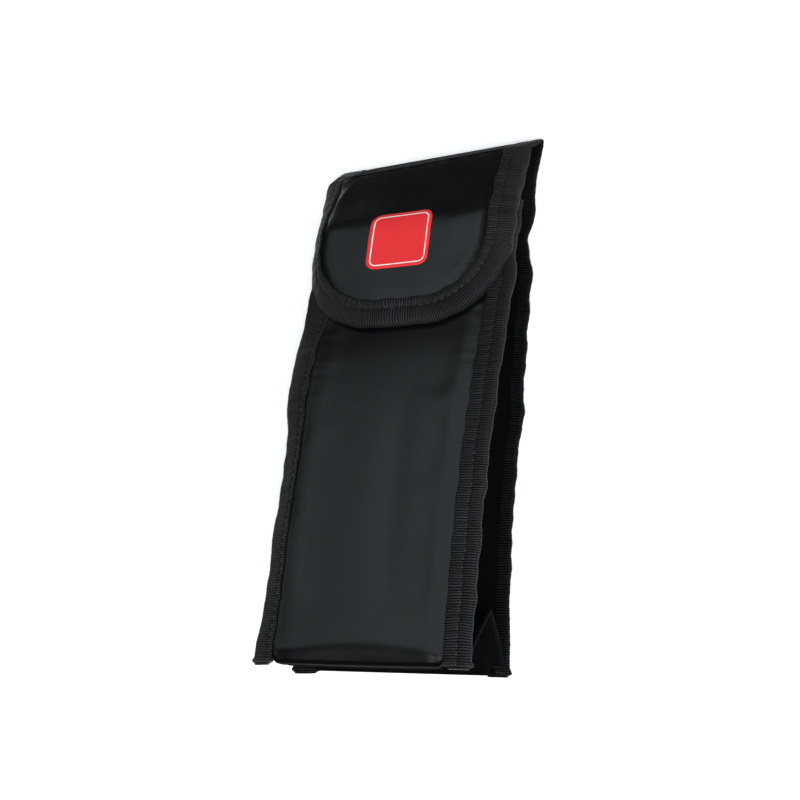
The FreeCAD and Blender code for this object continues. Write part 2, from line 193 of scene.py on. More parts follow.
# the same cloth where it is folded hard and has lost its gloss; it also makes a painted line of shade on the
# front panel
def buildDull(wire):
    blotch = cloud(wire, 60)
    grain = cloud(wire, 500, 3)
    return {"Base Color": (blotch * 0.2 + readWearAndHighlight(wire) * 0.8).mix(*greys("dull")),
            "Roughness": 0.55 + blotch * 0.15, "Normal": grain.bump(0.25, 0.0003)}


# ribbed binding tape: rounded cross ribs that follow its length and waver where it is gathered
ribbing = {"pitch": 0.00095, "crossPitch": 0.0006, "stray": 4.0, "rough": 0.44}


def buildRibs(wire, tone="ribs"):
    u, v = flatPlace(wire)
    fuzz = cloud(wire, 900)
    stray = cloud(wire, 150) * ribbing["stray"]
    rib = (u * (math.pi / ribbing["pitch"]) + fuzz * 0.7 + stray).maths("SINE").maths("ABSOLUTE")
    cross = (v * (math.tau / ribbing["crossPitch"])).maths("SINE") * 0.5 + 0.5
    # the rib profile also sets the colour: painted highlight on the rib crests and painted shade in the
    # grooves
    shade = rib * rib * rib * (0.45 + cloud(wire, 60) * 0.9) * (0.8 + cross * 0.2)
    height = rib + cross * 0.12 + fuzz * 0.15
    return {"Base Color": shade.mix(*greys(tone)), "Roughness": ribbing["rough"] + fuzz * 0.12 - rib * 0.08,
            "Normal": height.bump(0.75, 0.00028)}


def buildGussetCloth(wire):
    blotch = cloud(wire, 45)
    height = weave(wire, 0.0006) * 0.5 + cloud(wire, 300) * 0.5
    return {"Base Color": blotch.mix(*greys("gusset")), "Roughness": 0.7 + blotch * 0.12,
            "Normal": height.bump(0.25, 0.00025)}


def buildLining(wire, tone="lining"):
    blotch = cloud(wire, 50)
    threads = weave(wire, 0.0007)
    return {"Base Color": (blotch * 0.6 + threads * 0.2 + 0.2).mix(*greys(tone)),
            "Roughness": 0.56 + blotch * 0.1, "Normal": threads.bump(0.3, 0.0002)}


# plain threads, where one fine noise sets tone, gloss and relief
specks = {"thread": {"scale": 1500, "detail": 1, "rough": 0.4, "vary": 0.15, "relief": (0.4, 0.0001)},
          "pile": {"scale": 700, "detail": 2, "rough": 0.6, "vary": 0.2, "relief": (0.5, 0.0003)},
          "hooks": {"scale": 900, "detail": 1, "rough": 0.38, "vary": 0.1, "relief": (0.3, 0.0002)}}


def buildSpeck(wire, tone):
    kind = specks[tone]
    speck = cloud(wire, kind["scale"], kind["detail"])
    return {"Base Color": speck.mix(*greys(tone)), "Roughness": kind["rough"] + speck * kind["vary"],
            "Normal": speck.bump(*kind["relief"])}


labelTone = {"deep": (0.66, 0.014, 0.018, 1), "bright": (0.8, 0.03, 0.032, 1), "pitch": 0.0005}


def buildLabelRed(wire):
    blotch = cloud(wire, 120)
    threads = weave(wire, labelTone["pitch"])
    shade = blotch * 0.5 + threads * 0.15 + 0.25
    return {"Base Color": shade.mix(labelTone["deep"], labelTone["bright"]),
            "Roughness": 0.42 + blotch * 0.12, "Normal": threads.bump(0.14, 0.0002)}


def buildLabelLine(wire):
    blotch = cloud(wire, 160)
    return {"Base Color": blotch.mix(*greys("labelLine")), "Roughness": 0.45 + blotch * 0.1,
            "Normal": weave(wire, labelTone["pitch"]).bump(0.12, 0.0002)}


coatedFabric = newFinish("coatedFabric", {"IOR": 1.5}, buildCoating)
dullFold = newFinish("dullFold", {"Specular IOR Level": 0.02}, buildDull)
# the dull finish for the bottom pleat, and for a painted line of shade on the front panel
pleatAndShadeLineCloth = newFinish("pleatAndShadeLineCloth", {"Specular IOR Level": 0.015}, buildDull)
ribbedTape = newFinish("ribbedTape", {"Specular IOR Level": 0.08}, buildRibs)
# the ribbed tape with darker ridges: painted shade on the back tapes, which lie in the case's shadow
shadedBackTapeCloth = newFinish("shadedBackTapeCloth", {"Specular IOR Level": 0.04},
                          lambda wire: buildRibs(wire, "backRibsPaintedShade"))
gussetCloth = newFinish("gussetCloth", {"Specular IOR Level": 0.02}, buildGussetCloth)
liningCloth = newFinish("liningCloth", {"IOR": 1.45}, buildLining)
# a light cloth for the front panel's lip: a painted highlight
lipHighlightCloth = newFinish("lipHighlightCloth", {"Specular IOR Level": 0.08}, lambda wire: buildLining(wire, "lipHighlight"))
blackThread = newFinish("blackThread", {"IOR": 1.5}, lambda wire: buildSpeck(wire, "thread"))
loopPile = newFinish("loopPile", {"Sheen Weight": 0.15}, lambda wire: buildSpeck(wire, "pile"))
hookTape = newFinish("hookTape", {"IOR": 1.5}, lambda wire: buildSpeck(wire, "hooks"))
labelRed = newFinish("labelRed", {"IOR": 1.5}, buildLabelRed)
labelLine = newFinish("labelLine", {"IOR": 1.5}, buildLabelLine)
print("finishes: 13")


def smooth(low, high, value):
    share = np.clip((value - low) / (high - low), 0, 1)
    return share * share * (3 - 2 * share)


def hump(value, middle, spread):
    return np.exp(-((value - middle) / spread) ** 2)


# soft irregular wave of about -1 to 1; the seed fixes it
def wander(seed, along, pitch):
    pick = np.random.default_rng(seed)
    total = 0.0
    for count in range(5):
        total = total + np.sin(math.tau * along * pick.uniform(0.6, 1.7) / pitch + pick.uniform(0, math.tau))
    return total / 3.2


def mottle(seed, x, y, pitch):
    pick = np.random.default_rng(seed)
    total = 0.0
    for count in range(7):
        heading = pick.uniform(0, math.tau)
        along = x * math.cos(heading) + y * math.sin(heading)
        total = total + np.sin(math.tau * along * pick.uniform(0.6, 1.6) / pitch + pick.uniform(0, math.tau))
    return total / 3.8


# a line in the Y-Z plane from runs of (length, turn); heading 180 runs to +Y, 0 to -Y,
# and the outside is on its left
def traceLine(start, heading, runs):
    step = 0.02
    y, z = start
    rows = [(0.0, y, z, heading)]
    gone = 0.0
    for length, turn in runs:
        count = max(2, round(length / step))
        for piece in range(count):
            middle = math.radians(heading + turn * (piece + 0.5) / count)
            y -= math.cos(middle) * length / count
            z += math.sin(middle) * length / count
            gone += length / count
            rows.append((gone, y, z, heading + turn * (piece + 1) / count))
        heading += turn
    return np.array(rows).T


# back, fold and flap are one length of cloth; sizes are the solids'
wrapSize = {"low": -105.0, "backHinge": (104.1, 1.025), "flapHinge": (97.7, 9.975), "half": 43.5,
            "panel": 42.9, "rise": 21.5, "ridgeY": 70.0, "ridgeRadius": 26.0, "tilt": 5.2, "tipY": 25.2,
            "corner": 36.0, "tape": 10.5, "tail": 60.0, "backThick": 2.5, "flapThick": 3.3, "rim": (26, 42)}
foldRise = wrapSize["flapHinge"][1] - wrapSize["backHinge"][1]
foldLean = wrapSize["backHinge"][0] - wrapSize["flapHinge"][0]
foldRun = math.hypot(foldRise, foldLean)
foldTurn = math.degrees(math.atan2(foldRise, foldLean))
turnRadius = wrapSize["backHinge"][1]
backRun = wrapSize["backHinge"][0] - wrapSize["low"]
backTurnRun = turnRadius * math.radians(180 - foldTurn)
flapTurn = foldTurn - wrapSize["rise"]
flapTurnRun = turnRadius * math.radians(flapTurn)
ridgeTurn = math.radians(wrapSize["rise"] - wrapSize["tilt"])
riseRun = (wrapSize["flapHinge"][0] - wrapSize["ridgeY"]) / math.cos(math.radians(wrapSize["rise"])) \
    - wrapSize["ridgeRadius"] * math.tan(ridgeTurn / 2)
wrapLine = traceLine((wrapSize["low"], 0.0), 180.0, [
    (backRun, 0), (backTurnRun, foldTurn - 180), (foldRun, 0), (flapTurnRun, -flapTurn), (riseRun, 0),
    (wrapSize["ridgeRadius"] * ridgeTurn, -math.degrees(ridgeTurn)), (wrapSize["tail"], 0)])
sBackStart = 0.6
sBackFold = backRun + backTurnRun / 2
sSplit = backRun + backTurnRun + foldRun / 2
sFlapFold = backRun + backTurnRun + foldRun + flapTurnRun / 2
flapLine = wrapLine[:, wrapLine[0] > sFlapFold]  # the flap's part of the wrap
sTip = float(np.interp(-wrapSize["tipY"], -flapLine[1], flapLine[0]))
sCorner = sTip - wrapSize["corner"]
half = wrapSize["half"]


def alongLine(line, s):
    return [np.interp(s, line[0], line[k]) for k in (1, 2, 3)]


# the cloth thins where it is folded
creased = {"back": 1.0, "between": 2.0, "flap": 1.2}


def thinned(s, full):
    knots = [sBackFold - 7, sBackFold - 1.2, sBackFold + 1.2, sBackFold + 4,
             sFlapFold - 4, sFlapFold - 0.6, sFlapFold + 0.6, sFlapFold + 7]
    return np.interp(s, knots, [full, *np.repeat(list(creased.values()), 2), full])


# distance from the flap's bound edge inwards, and how far that edge is a side one
def flapEdge(x, s):
    over = np.clip(s - sCorner, 0, None)
    out = np.clip(np.abs(x) - (half - wrapSize["corner"]), 0, None)
    away = np.maximum(np.hypot(out, over), 1e-6)
    edge = np.where(s > sCorner, wrapSize["corner"] - away, half - np.abs(x))
    return edge, np.where(s > sCorner, out / away, 1.0)


# the flap's sides hang down from its ridge, more on the left, where it reaches further
arch = {"reach": 14.0, "ramp": 6.0, "leftTilt": 46.0, "rightTilt": 25.0, "tipTilt": 9.0,
        "leftWide": 7.2, "rightWide": -0.3}


def flapArch(x, s):
    gone = s - sFlapFold
    begin = smooth(sSplit + 0.5, sFlapFold + 3, s)
    edge, side = flapEdge(x, s)
    edge = np.clip(edge, 0, arch["reach"])
    share = begin * (0.55 + 0.45 * smooth(0, 30, gone))
    sideTilt = np.where(x < 0, arch["leftTilt"], arch["rightTilt"])
    most = sideTilt * side ** 2 + arch["tipTilt"] * (1 - side ** 2)
    drop, inward = 0.0, 0.0
    for count in range(10):
        spot = edge + (arch["reach"] - edge) * (count + 0.5) / 10
        tilt = np.radians(most * share * smooth(0, arch["ramp"], arch["reach"] - spot))
        drop = drop + np.sin(tilt) * (arch["reach"] - edge) / 10
        inward = inward + (1 - np.cos(tilt)) * (arch["reach"] - edge) / 10
    wide = np.where(x < 0, arch["leftWide"], arch["rightWide"]) * np.clip(np.abs(x) / 33, 0, 1)
    wide = wide * begin * (0.85 + 0.15 * smooth(0, 30, gone))
    return np.sign(x) * (wide - inward * side), drop


def matched(*values):
    return np.broadcast_arrays(*[np.asarray(value, float) for value in values])


# 0 on a panel, 1 at its bound edges
def rimShare(x):
    return smooth(*wrapSize["rim"], np.abs(x))


# how far the wrap's edges bow, wave, pinch in and flare out, and the low left corner reaches
wrapEdge = {"bow": 1.7, "bowY": -52, "bowReach": 46, "wave": 0.45, "waveFrom": (-105, -88), "ripple": 0.2,
            "liftFrom": (-104, -90), "pinch": 1.7, "pinchAt": (64, 6), "swell": 0.5, "swellAt": (50, 6),
            "flare": 1.9, "flareReach": 12, "flapWave": 0.25, "skew": 0.049, "skewReach": 20,
            "cornerOut": 3.0, "cornerDown": 0.8, "cornerReach": 13}


# a point of the wrap: across, along, and depth under its outer face
def wrapPoint(x, s, depth, full):
    x, s, depth = matched(x, s, depth)
    y, z, turn = alongLine(wrapLine, s)
    y = y + np.minimum(s, 0)  # tape ends run on past the panel
    turn = np.radians(turn)
    side = np.sign(x)
    aside, drop = flapArch(x, s)
    rim = rimShare(x)
    onBack = 1 - smooth(sBackFold - 8, sBackFold - 2, s)
    onFlap = smooth(sFlapFold, sFlapFold + 8, s)
    bow = wrapEdge["bow"] * np.clip(1 - ((y - wrapEdge["bowY"]) / wrapEdge["bowReach"]) ** 2, 0, 1)
    wave = wrapEdge["wave"] * wander(11, y + 300 * side, 34)
    wave = wave + wrapEdge["ripple"] * wander(12, y - 200 * side, 13)
    pinch = wrapEdge["pinch"] * hump(y, *wrapEdge["pinchAt"])
    pinch = pinch - wrapEdge["swell"] * hump(y, *wrapEdge["swellAt"])
    skew = wrapEdge["skew"] * x * hump(s, sFlapFold, wrapEdge["skewReach"])  # the fold lies a little askew
    lowCorner = (x < 0) * hump(y, wrapSize["low"], wrapEdge["cornerReach"])
    shift = onBack * (bow + wave * smooth(*wrapEdge["waveFrom"], y) + pinch)
    shift = shift - wrapEdge["flare"] * hump(s, sBackFold, wrapEdge["flareReach"])
    shift = shift - wrapEdge["cornerOut"] * lowCorner
    shift = shift + onFlap * wrapEdge["flapWave"] * wander(13, s + 90 * side, 16)
    lift = onBack * rim * (0.5 + 0.5 * wander(14, y + 120 * side, 40)) * smooth(*wrapEdge["liftFrom"], y)
    deep = depth * thinned(s, full) / full
    return np.stack([x - side * rim * shift + aside,
                     y - deep * np.sin(turn) + skew - wrapEdge["cornerDown"] * rim * lowCorner,
                     z - deep * np.cos(turn) + lift - drop], -1)


def backPoint(x, s, depth):
    return wrapPoint(x, s, depth, wrapSize["backThick"])


def flapPoint(x, s, depth):
    return wrapPoint(x, s, depth, wrapSize["flapThick"])


# the front: an arc from the mouth to the bottom
frontSize = {"mouth": (78.0, 9.6), "mouthTurn": 16.01, "run": 181.16, "baseTurn": 0.8, "tail": 7.6,
             "past": 5.3}
frontLine = traceLine(frontSize["mouth"], frontSize["mouthTurn"], [
    (frontSize["run"], frontSize["baseTurn"] - frontSize["mouthTurn"]), (frontSize["tail"], 0)])
sFrontEnd = frontSize["run"] + frontSize["past"]

edgeHang = {"from": 14, "seam": 33.0, "out": 3.0, "tilt": 20.0, "over": (46, 18)}  # left tape, turned down
frontEdge = {"wave": 0.4, "waveFrom": (-105, -92), "ripple": 0.15, "pulled": 2.2, "pullIn": (-99, -86),
             "pullBack": (-26, -2), "pullOut": (-22, 6), "drawn": 1.8, "drawnOver": (42, 68), "sway": 0.35,
             "full": 0.9, "fullFrom": (70, 105), "fullTo": (178, 125), "pressed": 2.2, "pressedAt": (43, 20),
             "lessRight": 0.8}


def frontPoint(x, s, depth):
    x, s, depth = matched(x, s, depth)
    y, z, turn = alongLine(frontLine, s)
    past = np.minimum(s, 0)  # short of the mouth the line runs straight on
    y = y - past * math.cos(math.radians(frontSize["mouthTurn"]))
    z = z + past * math.sin(math.radians(frontSize["mouthTurn"]))
    turn = np.radians(turn)
    side = np.sign(x)
    rim = rimShare(x)
    wave = frontEdge["wave"] * wander(21, y + 260 * side, 36)
    wave = wave + frontEdge["ripple"] * wander(22, y - 60 * side, 12)
    # the left edge is pulled in below and out above, the right one drawn in at the top
    pullIn, pullBack, pullOut = [smooth(*frontEdge[key], y) for key in ("pullIn", "pullBack", "pullOut")]
    pulled = frontEdge["pulled"] * (pullIn - pullBack - pullOut)
    drawn = frontEdge["drawn"] * smooth(*frontEdge["drawnOver"], y)
    shift = rim * wave * smooth(*frontEdge["waveFrom"], y) + rim * np.where(side < 0, pulled, drawn)
    hang = (side < 0) * smooth(*edgeHang["over"], y)
    over = np.clip(np.abs(x) - edgeHang["seam"], 0, None)
    tilt = math.radians(edgeHang["tilt"])
    out = edgeHang["out"] * smooth(edgeHang["from"], edgeHang["seam"], np.abs(x))
    shift = shift - hang * (out - over * (1 - math.cos(tilt)))
    sway = rim * frontEdge["sway"] * wander(23, y + 150 * side, 44) - hang * over * math.sin(tilt)
    # pushed in under the flap, full below it
    pressed = frontEdge["pressed"] - frontEdge["lessRight"] * smooth(0, 30, x)
    pressed = pressed * hump(s, *frontEdge["pressedAt"])
    full = frontEdge["full"] * smooth(*frontEdge["fullFrom"], s) * smooth(*frontEdge["fullTo"], s)
    sway = sway + (full - pressed) * (1 - 0.5 * rim)
    return np.stack([x - side * shift, y - depth * np.sin(turn), z - depth * np.cos(turn) + sway], -1)


# a panel stops short inside its tapes' ends
short = {"run": 2.4, "across": (31, 34), "along": 9}


def frontPanelPoint(x, s, depth):
    near = smooth(sFrontEnd - short["along"], sFrontEnd, s)
    return frontPoint(x, s - short["run"] * smooth(*short["across"], np.abs(x)) * near, depth)


def backPanelPoint(x, s, depth):
    near = smooth(short["along"], sBackStart, s)
    return backPoint(x, s + short["run"] * smooth(*short["across"], np.abs(x)) * near, depth)


# a panel thins towards its tapes
def panelThick(shape, x):
    return shape["thick"] + (shape["edgeThick"] - shape["thick"]) * smooth(*shape["thinOver"], np.abs(x))


def makePiece(name, points, faces, finishes, finishOf=None, places=None, wearAndHighlight=None, sharp=None):
    mesh = bpy.data.meshes.new(name)
    mesh.from_pydata((np.asarray(points) * mm).tolist(), [], faces)
    for finish in finishes:
        mesh.materials.append(finish)
    mesh.polygons.foreach_set("use_smooth", [True] * len(mesh.polygons))
    if finishOf is not None:
        mesh.polygons.foreach_set("material_index", list(finishOf))
    if places is not None:
        layer = mesh.uv_layers.new(name="flat")
        layer.data.foreach_set("uv", (np.asarray(places, float) * mm).ravel())
    if wearAndHighlight is not None:
        mesh.attributes.new("wearAndHighlight", "FLOAT", "POINT").data.foreach_set("value", np.asarray(wearAndHighlight, float).ravel())
    if sharp is not None:
        edges = {tuple(sorted(edge.vertices)): edge.index for edge in mesh.edges}
        mark = mesh.attributes.new("sharp_edge", "BOOLEAN", "EDGE")
        for pair in sharp:
            mark.data[edges[tuple(sorted(pair))]].value = True
    shape = bmesh.new()
    shape.from_mesh(mesh)
    bmesh.ops.recalc_face_normals(shape, faces=shape.faces)
    shape.to_mesh(mesh)
    shape.free()
    piece = bpy.data.objects.new(name, mesh)
    scene.collection.objects.link(piece)
    return piece


def gridFaces(rows, cols, start=0):
    corners = [start + i * cols + j for i in range(rows - 1) for j in range(cols - 1)]
    return [(a, a + 1, a + cols + 1, a + cols) for a in corners]


# neighbouring points along a grid's first row, last row and two sides
def gridRim(rows, cols):
    first = [(j, j + 1) for j in range(cols - 1)]
    last = [((rows - 1) * cols + a, (rows - 1) * cols + b) for a, b in first]
    return first, last, [(i * cols + j, (i + 1) * cols + j) for j in (0, cols - 1) for i in range(rows - 1)]


def panelHalf(s):
    return wrapSize["panel"] + 0 * s


# closed soft panel between an outer and an inner depth; row and column places are flat ones
def padPanel(name, surface, spans, cols, width, outer, inner, finishes, wearAndHighlight=None, openRow=None, worn=None):
    s, u = np.meshgrid(spans, cols, indexing="ij")
    x = u * width(s)
    points = np.concatenate([surface(x, s, depth(x, s)).reshape(-1, 3) for depth in (outer, inner)])
    rows, count = s.shape
    size = rows * count
    first, last, sides = gridRim(rows, count)
    rim = sides + first + last
    faces = gridFaces(rows, count) + gridFaces(rows, count, size)
    faces += [(a, b, b + size, a + size) for a, b in rim]
    shown = np.repeat(worn(spans[:-1]), count - 1) if worn else np.zeros((rows - 1) * (count - 1), int)
    finishOf = shown.tolist() + [1] * len(shown) + [len(finishes) - 1] * len(rim)
    flat = np.stack([x, s], -1).reshape(-1, 2)
    places = np.concatenate([flat, flat])[np.array(faces).ravel()]
    wearAndHighlightValues = None if wearAndHighlight is None else np.concatenate([wearAndHighlight(x, s).ravel(), 0 * x.ravel()])
    seam = {None: [], 0: first, rows - 1: last}[openRow]
    sharp = [pair for a, b in seam for pair in ((a, b), (a + size, b + size))]
    return makePiece(name, points, faces, finishes, finishOf, places, wearAndHighlightValues, sharp)


# cloth settled between its seams: how far each point moves out from the shape it starts in
def settleCloth(surface, spans, cols, width, start, cloth):
    s, u = np.meshgrid(spans, cols, indexing="ij")
    x = u * width(s)
    rest = surface(x, s, -start(x, s))
    sheet = makePiece("settling", rest.reshape(-1, 3), gridFaces(*s.shape), [])
    sheet.data.flip_normals()
    rows, count = s.shape
    edge = sorted({point for line in gridRim(rows, count) for pair in line for point in pair})
    sheet.vertex_groups.new(name="seam").add(edge, 1.0, "REPLACE")
    hold = sheet.modifiers.new("settle", "CLOTH")
    values = {"quality": 6, "mass": 0.2, "tension_stiffness": cloth["tension"],
              "compression_stiffness": cloth["tension"], "shear_stiffness": cloth["tension"] / 2,
              "bending_stiffness": cloth["bending"], "vertex_group_mass": "seam",
              "shrink_min": -cloth["slack"], "use_pressure": True,
              "uniform_pressure_force": cloth["pressure"]}
    for field, value in values.items():
        setattr(hold.settings, field, value)
    hold.settings.effector_weights.gravity = 0
    hold.collision_settings.use_collision = False
    hold.point_cache.frame_start = 1
    hold.point_cache.frame_end = cloth["frames"]
    for count in range(1, cloth["frames"] + 1):
        scene.frame_set(count)
    shown = sheet.evaluated_get(bpy.context.evaluated_depsgraph_get())
    moved = np.zeros(len(shown.data.vertices) * 3)
    shown.data.vertices.foreach_get("co", moved)
    moved = moved.reshape(rest.shape) / mm
    bpy.data.objects.remove(sheet)
    scene.frame_set(1)
    out = surface(x, s, -1.0 + 0 * x) - surface(x, s, 0 * x)
    rose = ((moved - rest) * out).sum(-1) / np.maximum(np.linalg.norm(out, axis=-1), 1e-6)
    rose = np.clip(rose, -cloth["cap"], cloth["cap"]) * cloth["share"]
    for count in range(cloth["blur"]):
        wide = np.pad(rose, 1, mode="edge")
        rose = (wide[:-2, 1:-1] + wide[2:, 1:-1] + wide[1:-1, :-2] + wide[1:-1, 2:] + 4 * rose) / 8
    ends = np.minimum(np.arange(rows), np.arange(rows)[::-1])[:, None] / cloth["fade"]
    rose = rose * smooth(0, 1, ends) * (1 - u ** 6)  # it comes down softly to its seams
    print("settled: rise %.2f to %.2f mm" % (rose.min(), rose.max()))
    return rose


# smooth reading of a settled grid at any place on the sheet
def readRise(grid, spans, cols, width):
    rows, count = grid.shape
    padded = np.pad(grid, 2, mode="edge")

    def weights(t):
        return [(1 - t) ** 3 / 6, (3 * t ** 3 - 6 * t ** 2 + 4) / 6,
                (-3 * t ** 3 + 3 * t ** 2 + 3 * t + 1) / 6, t ** 3 / 6]

    def rise(x, s):
        i = np.interp(s, spans, np.arange(rows))
        j = np.interp(x / width(s), cols, np.arange(count))
        i0 = np.clip(np.floor(i).astype(int), 0, rows - 1)
        j0 = np.clip(np.floor(j).astype(int), 0, count - 1)
        total = 0.0
        for a, wa in enumerate(weights(i - i0)):
            for b, wb in enumerate(weights(j - j0)):
                total = total + wa * wb * padded[i0 + a + 1, j0 + b + 1]
        return total

    return rise


def evenSteps(low, high, pitch):
    return np.linspace(low, high, max(2, int(math.ceil(abs(high - low) / pitch)) + 1))


# columns closer together towards the seams
def seamColumns(count, crowd=0.35):
    t = np.linspace(-1, 1, count)
    return t + crowd * np.sin(math.pi * t) / math.pi


# front panel: crowned between its tapes, rolled under at the bottom
front = {"seam": 32.0, "crown": 0.7, "thick": 2.2, "edgeThick": 0.95, "thinOver": (29.5, 32.5), "tuck": 0.55,
         "tuckOver": (26.5, 33), "pitch": 1.3, "endRun": 10, "endPitch": 0.45, "columns": 67, "roll": 12.0,
         "rollAngle": 50, "rollLate": 2.4, "rollOver": (29, 35), "rollLess": 0.8, "valley": 0.35,
         "valleyAt": (7, 6), "valleyLean": 0.03, "valleyMiddle": 110, "valleyFrom": (70, 105),
         "valleyTo": (176, 150), "pucker": 0.1, "puckerReach": 3.2, "puckerPitch": 5.5, "lip": 0.7,
         "line": 1.9,
         "cloth": {"tension": 18, "bending": 0.8, "slack": 0.003, "pressure": 3.0, "frames": 24, "cap": 1.2,
                   "share": 0.7, "blur": 2, "fade": 6}}


def frontCrown(x, s):
    share = np.clip(1 - (x / front["seam"]) ** 2, 0, 1)
    return front["crown"] * share * smooth(0, 14, s) * smooth(0, 20, sFrontEnd - s)


def frontStart(x, s):
    return frontCrown(x, s) + 0.05 * mottle(31, x, s, 30)


frontSimRows = evenSteps(6, sFrontEnd - 9, 3.0)
frontSimCols = np.linspace(-1, 1, 25)


def frontSeamWidth(s):
    return front["seam"] + 0 * s


frontGrid = settleCloth(frontPoint, frontSimRows, frontSimCols, frontSeamWidth, frontStart, front["cloth"])
frontSettled = readRise(frontGrid, frontSimRows, frontSimCols, frontSeamWidth)


def frontRise(x, s):
    inside = 1 - smooth(front["seam"] - 4, front["seam"], np.abs(x))
    ends = smooth(0, 10, s) * smooth(1, 14, sFrontEnd - s)
    lean = front["valleyLean"] * (s - front["valleyMiddle"])
    valley = hump(x - lean, *front["valleyAt"]) * smooth(*front["valleyFrom"], s)
    valley = valley * smooth(*front["valleyTo"], s)
    near = np.exp(-(front["seam"] - np.abs(x)).clip(0) / front["puckerReach"])
    pucker = near * wander(32, s + 50 * np.sign(x), front["puckerPitch"])
    rise = (frontStart(x, s) + frontSettled(x, s) - front["valley"] * valley) * inside * ends
    return rise + front["pucker"] * pucker * (np.abs(x) < front["seam"])


# the roll starts higher in the middle than beside the tapes
def frontRoll(x, s):
    reach = front["roll"] * math.sin(math.radians(front["rollAngle"]))
    late = front["rollLate"] * (np.abs(x) / front["seam"]) ** 2
    left = np.clip(reach - late - (sFrontEnd - s), 0, reach)
    drop = front["roll"] - np.sqrt(front["roll"] ** 2 - left ** 2)
    return drop * (1 - smooth(*front["rollOver"], np.abs(x)) * front["rollLess"])


def frontOuter(x, s):
    return front["tuck"] * smooth(*front["tuckOver"], np.abs(x)) - frontRise(x, s) + frontRoll(x, s)


def frontInner(x, s):
    return frontOuter(x, s) + panelThick(front, x)


# a painted highlight as a light lip at the very end, and painted shade as a darker, duller line above it
def frontLipHighlightAndShadeLine(s):
    return np.where(s > sFrontEnd - front["lip"], 2, np.where(s > sFrontEnd - front["line"], 3, 0))


frontRows = np.concatenate([evenSteps(0, sFrontEnd - front["endRun"], front["pitch"])[:-1],
                            evenSteps(sFrontEnd - front["endRun"], sFrontEnd, front["endPitch"])])
# the panel is lighter near its bottom edge: wear, and a painted highlight along the roll's edge
frontPanel = padPanel("frontPanel", frontPanelPoint, frontRows, seamColumns(front["columns"]), panelHalf,
                      frontOuter, frontInner, [coatedFabric, liningCloth, lipHighlightCloth, pleatAndShadeLineCloth],
                      lambda x, s: 0.1 * hump(s, sFrontEnd - 2, 2.5) * (0.5 + 0.5 * mottle(33, x, s, 9)),
                      None, frontLipHighlightAndShadeLine)
print("front panel: %d faces" % len(frontPanel.data.polygons))

# back panel, and the fold up to its middle
back = {"tuck": 0.55, "tuckOver": (29.5, 32.8), "foldTuckOver": (31, 33), "thick": 2.2, "edgeThick": 0.95,
        "thinOver": (29.5, 32.5), "uneven": 0.12, "pitch": 1.6, "foldRun": 10, "foldPitch": 0.4,
        "columns": 61}


def backOuter(x, s):
    fold = smooth(sBackFold - 6, sBackFold - 1, s)
    wide, close = [smooth(*back[key], np.abs(x)) for key in ("tuckOver", "foldTuckOver")]
    return back["tuck"] * (wide * (1 - fold) + close * fold)


def backInner(x, s):
    uneven = back["uneven"] * mottle(41, x, s, 26) * smooth(30, 26, np.abs(x)) * smooth(sSplit, sSplit - 8, s)
    return backOuter(x, s) + panelThick(back, x) + uneven


backRows = np.concatenate([evenSteps(sBackStart, sBackFold - back["foldRun"], back["pitch"])[:-1],
                           evenSteps(sBackFold - back["foldRun"], sSplit, back["foldPitch"])])
backPanel = padPanel("backPanel", backPanelPoint, backRows, seamColumns(back["columns"]), panelHalf,
                     backOuter, backInner, [coatedFabric, liningCloth, dullFold],
                     lambda x, s: 0.9 * hump(s, sBackFold, 2.2) * (0.6 + 0.4 * mottle(42, x, s, 8)),
                     len(backRows) - 1, lambda s: np.where(s > sBackFold - 1.5, 2, 0))
print("back panel: %d faces" % len(backPanel.data.polygons))

# flap: padded, full between its tape
flap = {"tuck": 0.55, "thick": 2.2, "foldExtra": 0.7, "pitch": 1.1, "foldPitch": 0.4, "columns": 67,
        "crown": 0.7, "inset": 0.6, "tipHalf": 6.0, "tipRun": 8, "seamIn": 9.5, "pucker": 0.12,
        "crease": 0.25, "creaseAt": (-27.5, 0.9), "creaseLean": 0.38,
        "cloth": {"tension": 18, "bending": 0.8, "slack": 0.003, "pressure": 2.5, "frames": 24, "cap": 0.9,
                  "share": 0.55, "blur": 3, "fade": 8}}


def flapHalf(s):
    over = np.clip(s - sCorner, 0, wrapSize["corner"] - 0.01)
    full = (half - wrapSize["corner"]) + np.sqrt(wrapSize["corner"] ** 2 - over ** 2)
    return np.where(s > sCorner, full, half)


def flapInset(s):
    return np.maximum(flapHalf(np.minimum(s + flap["inset"], sTip)) - flap["inset"], flap["tipHalf"])


def flapStart(x, s):
    inside = smooth(wrapSize["tape"] - 1.5, wrapSize["tape"] + 16, flapEdge(x, s)[0])
    return flap["crown"] * inside * smooth(4, 40, s - sFlapFold) + 0.06 * mottle(51, x, s, 24)


def flapSeamWidth(s):
    left = (wrapSize["corner"] - flap["seamIn"]) ** 2 - np.clip(s - sCorner, 0, 26) ** 2
    full = (half - wrapSize["corner"]) + np.sqrt(np.maximum(left, 1.0))
    return np.where(s > sCorner, full, half - flap["seamIn"])


flapSimRows = evenSteps(sFlapFold + 2, sTip - 10.5, 2.2)
flapSimCols = np.linspace(-1, 1, 31)
flapGrid = settleCloth(flapPoint, flapSimRows, flapSimCols, flapSeamWidth, flapStart, flap["cloth"])
flapSettled = readRise(flapGrid, flapSimRows, flapSimCols, flapSeamWidth)


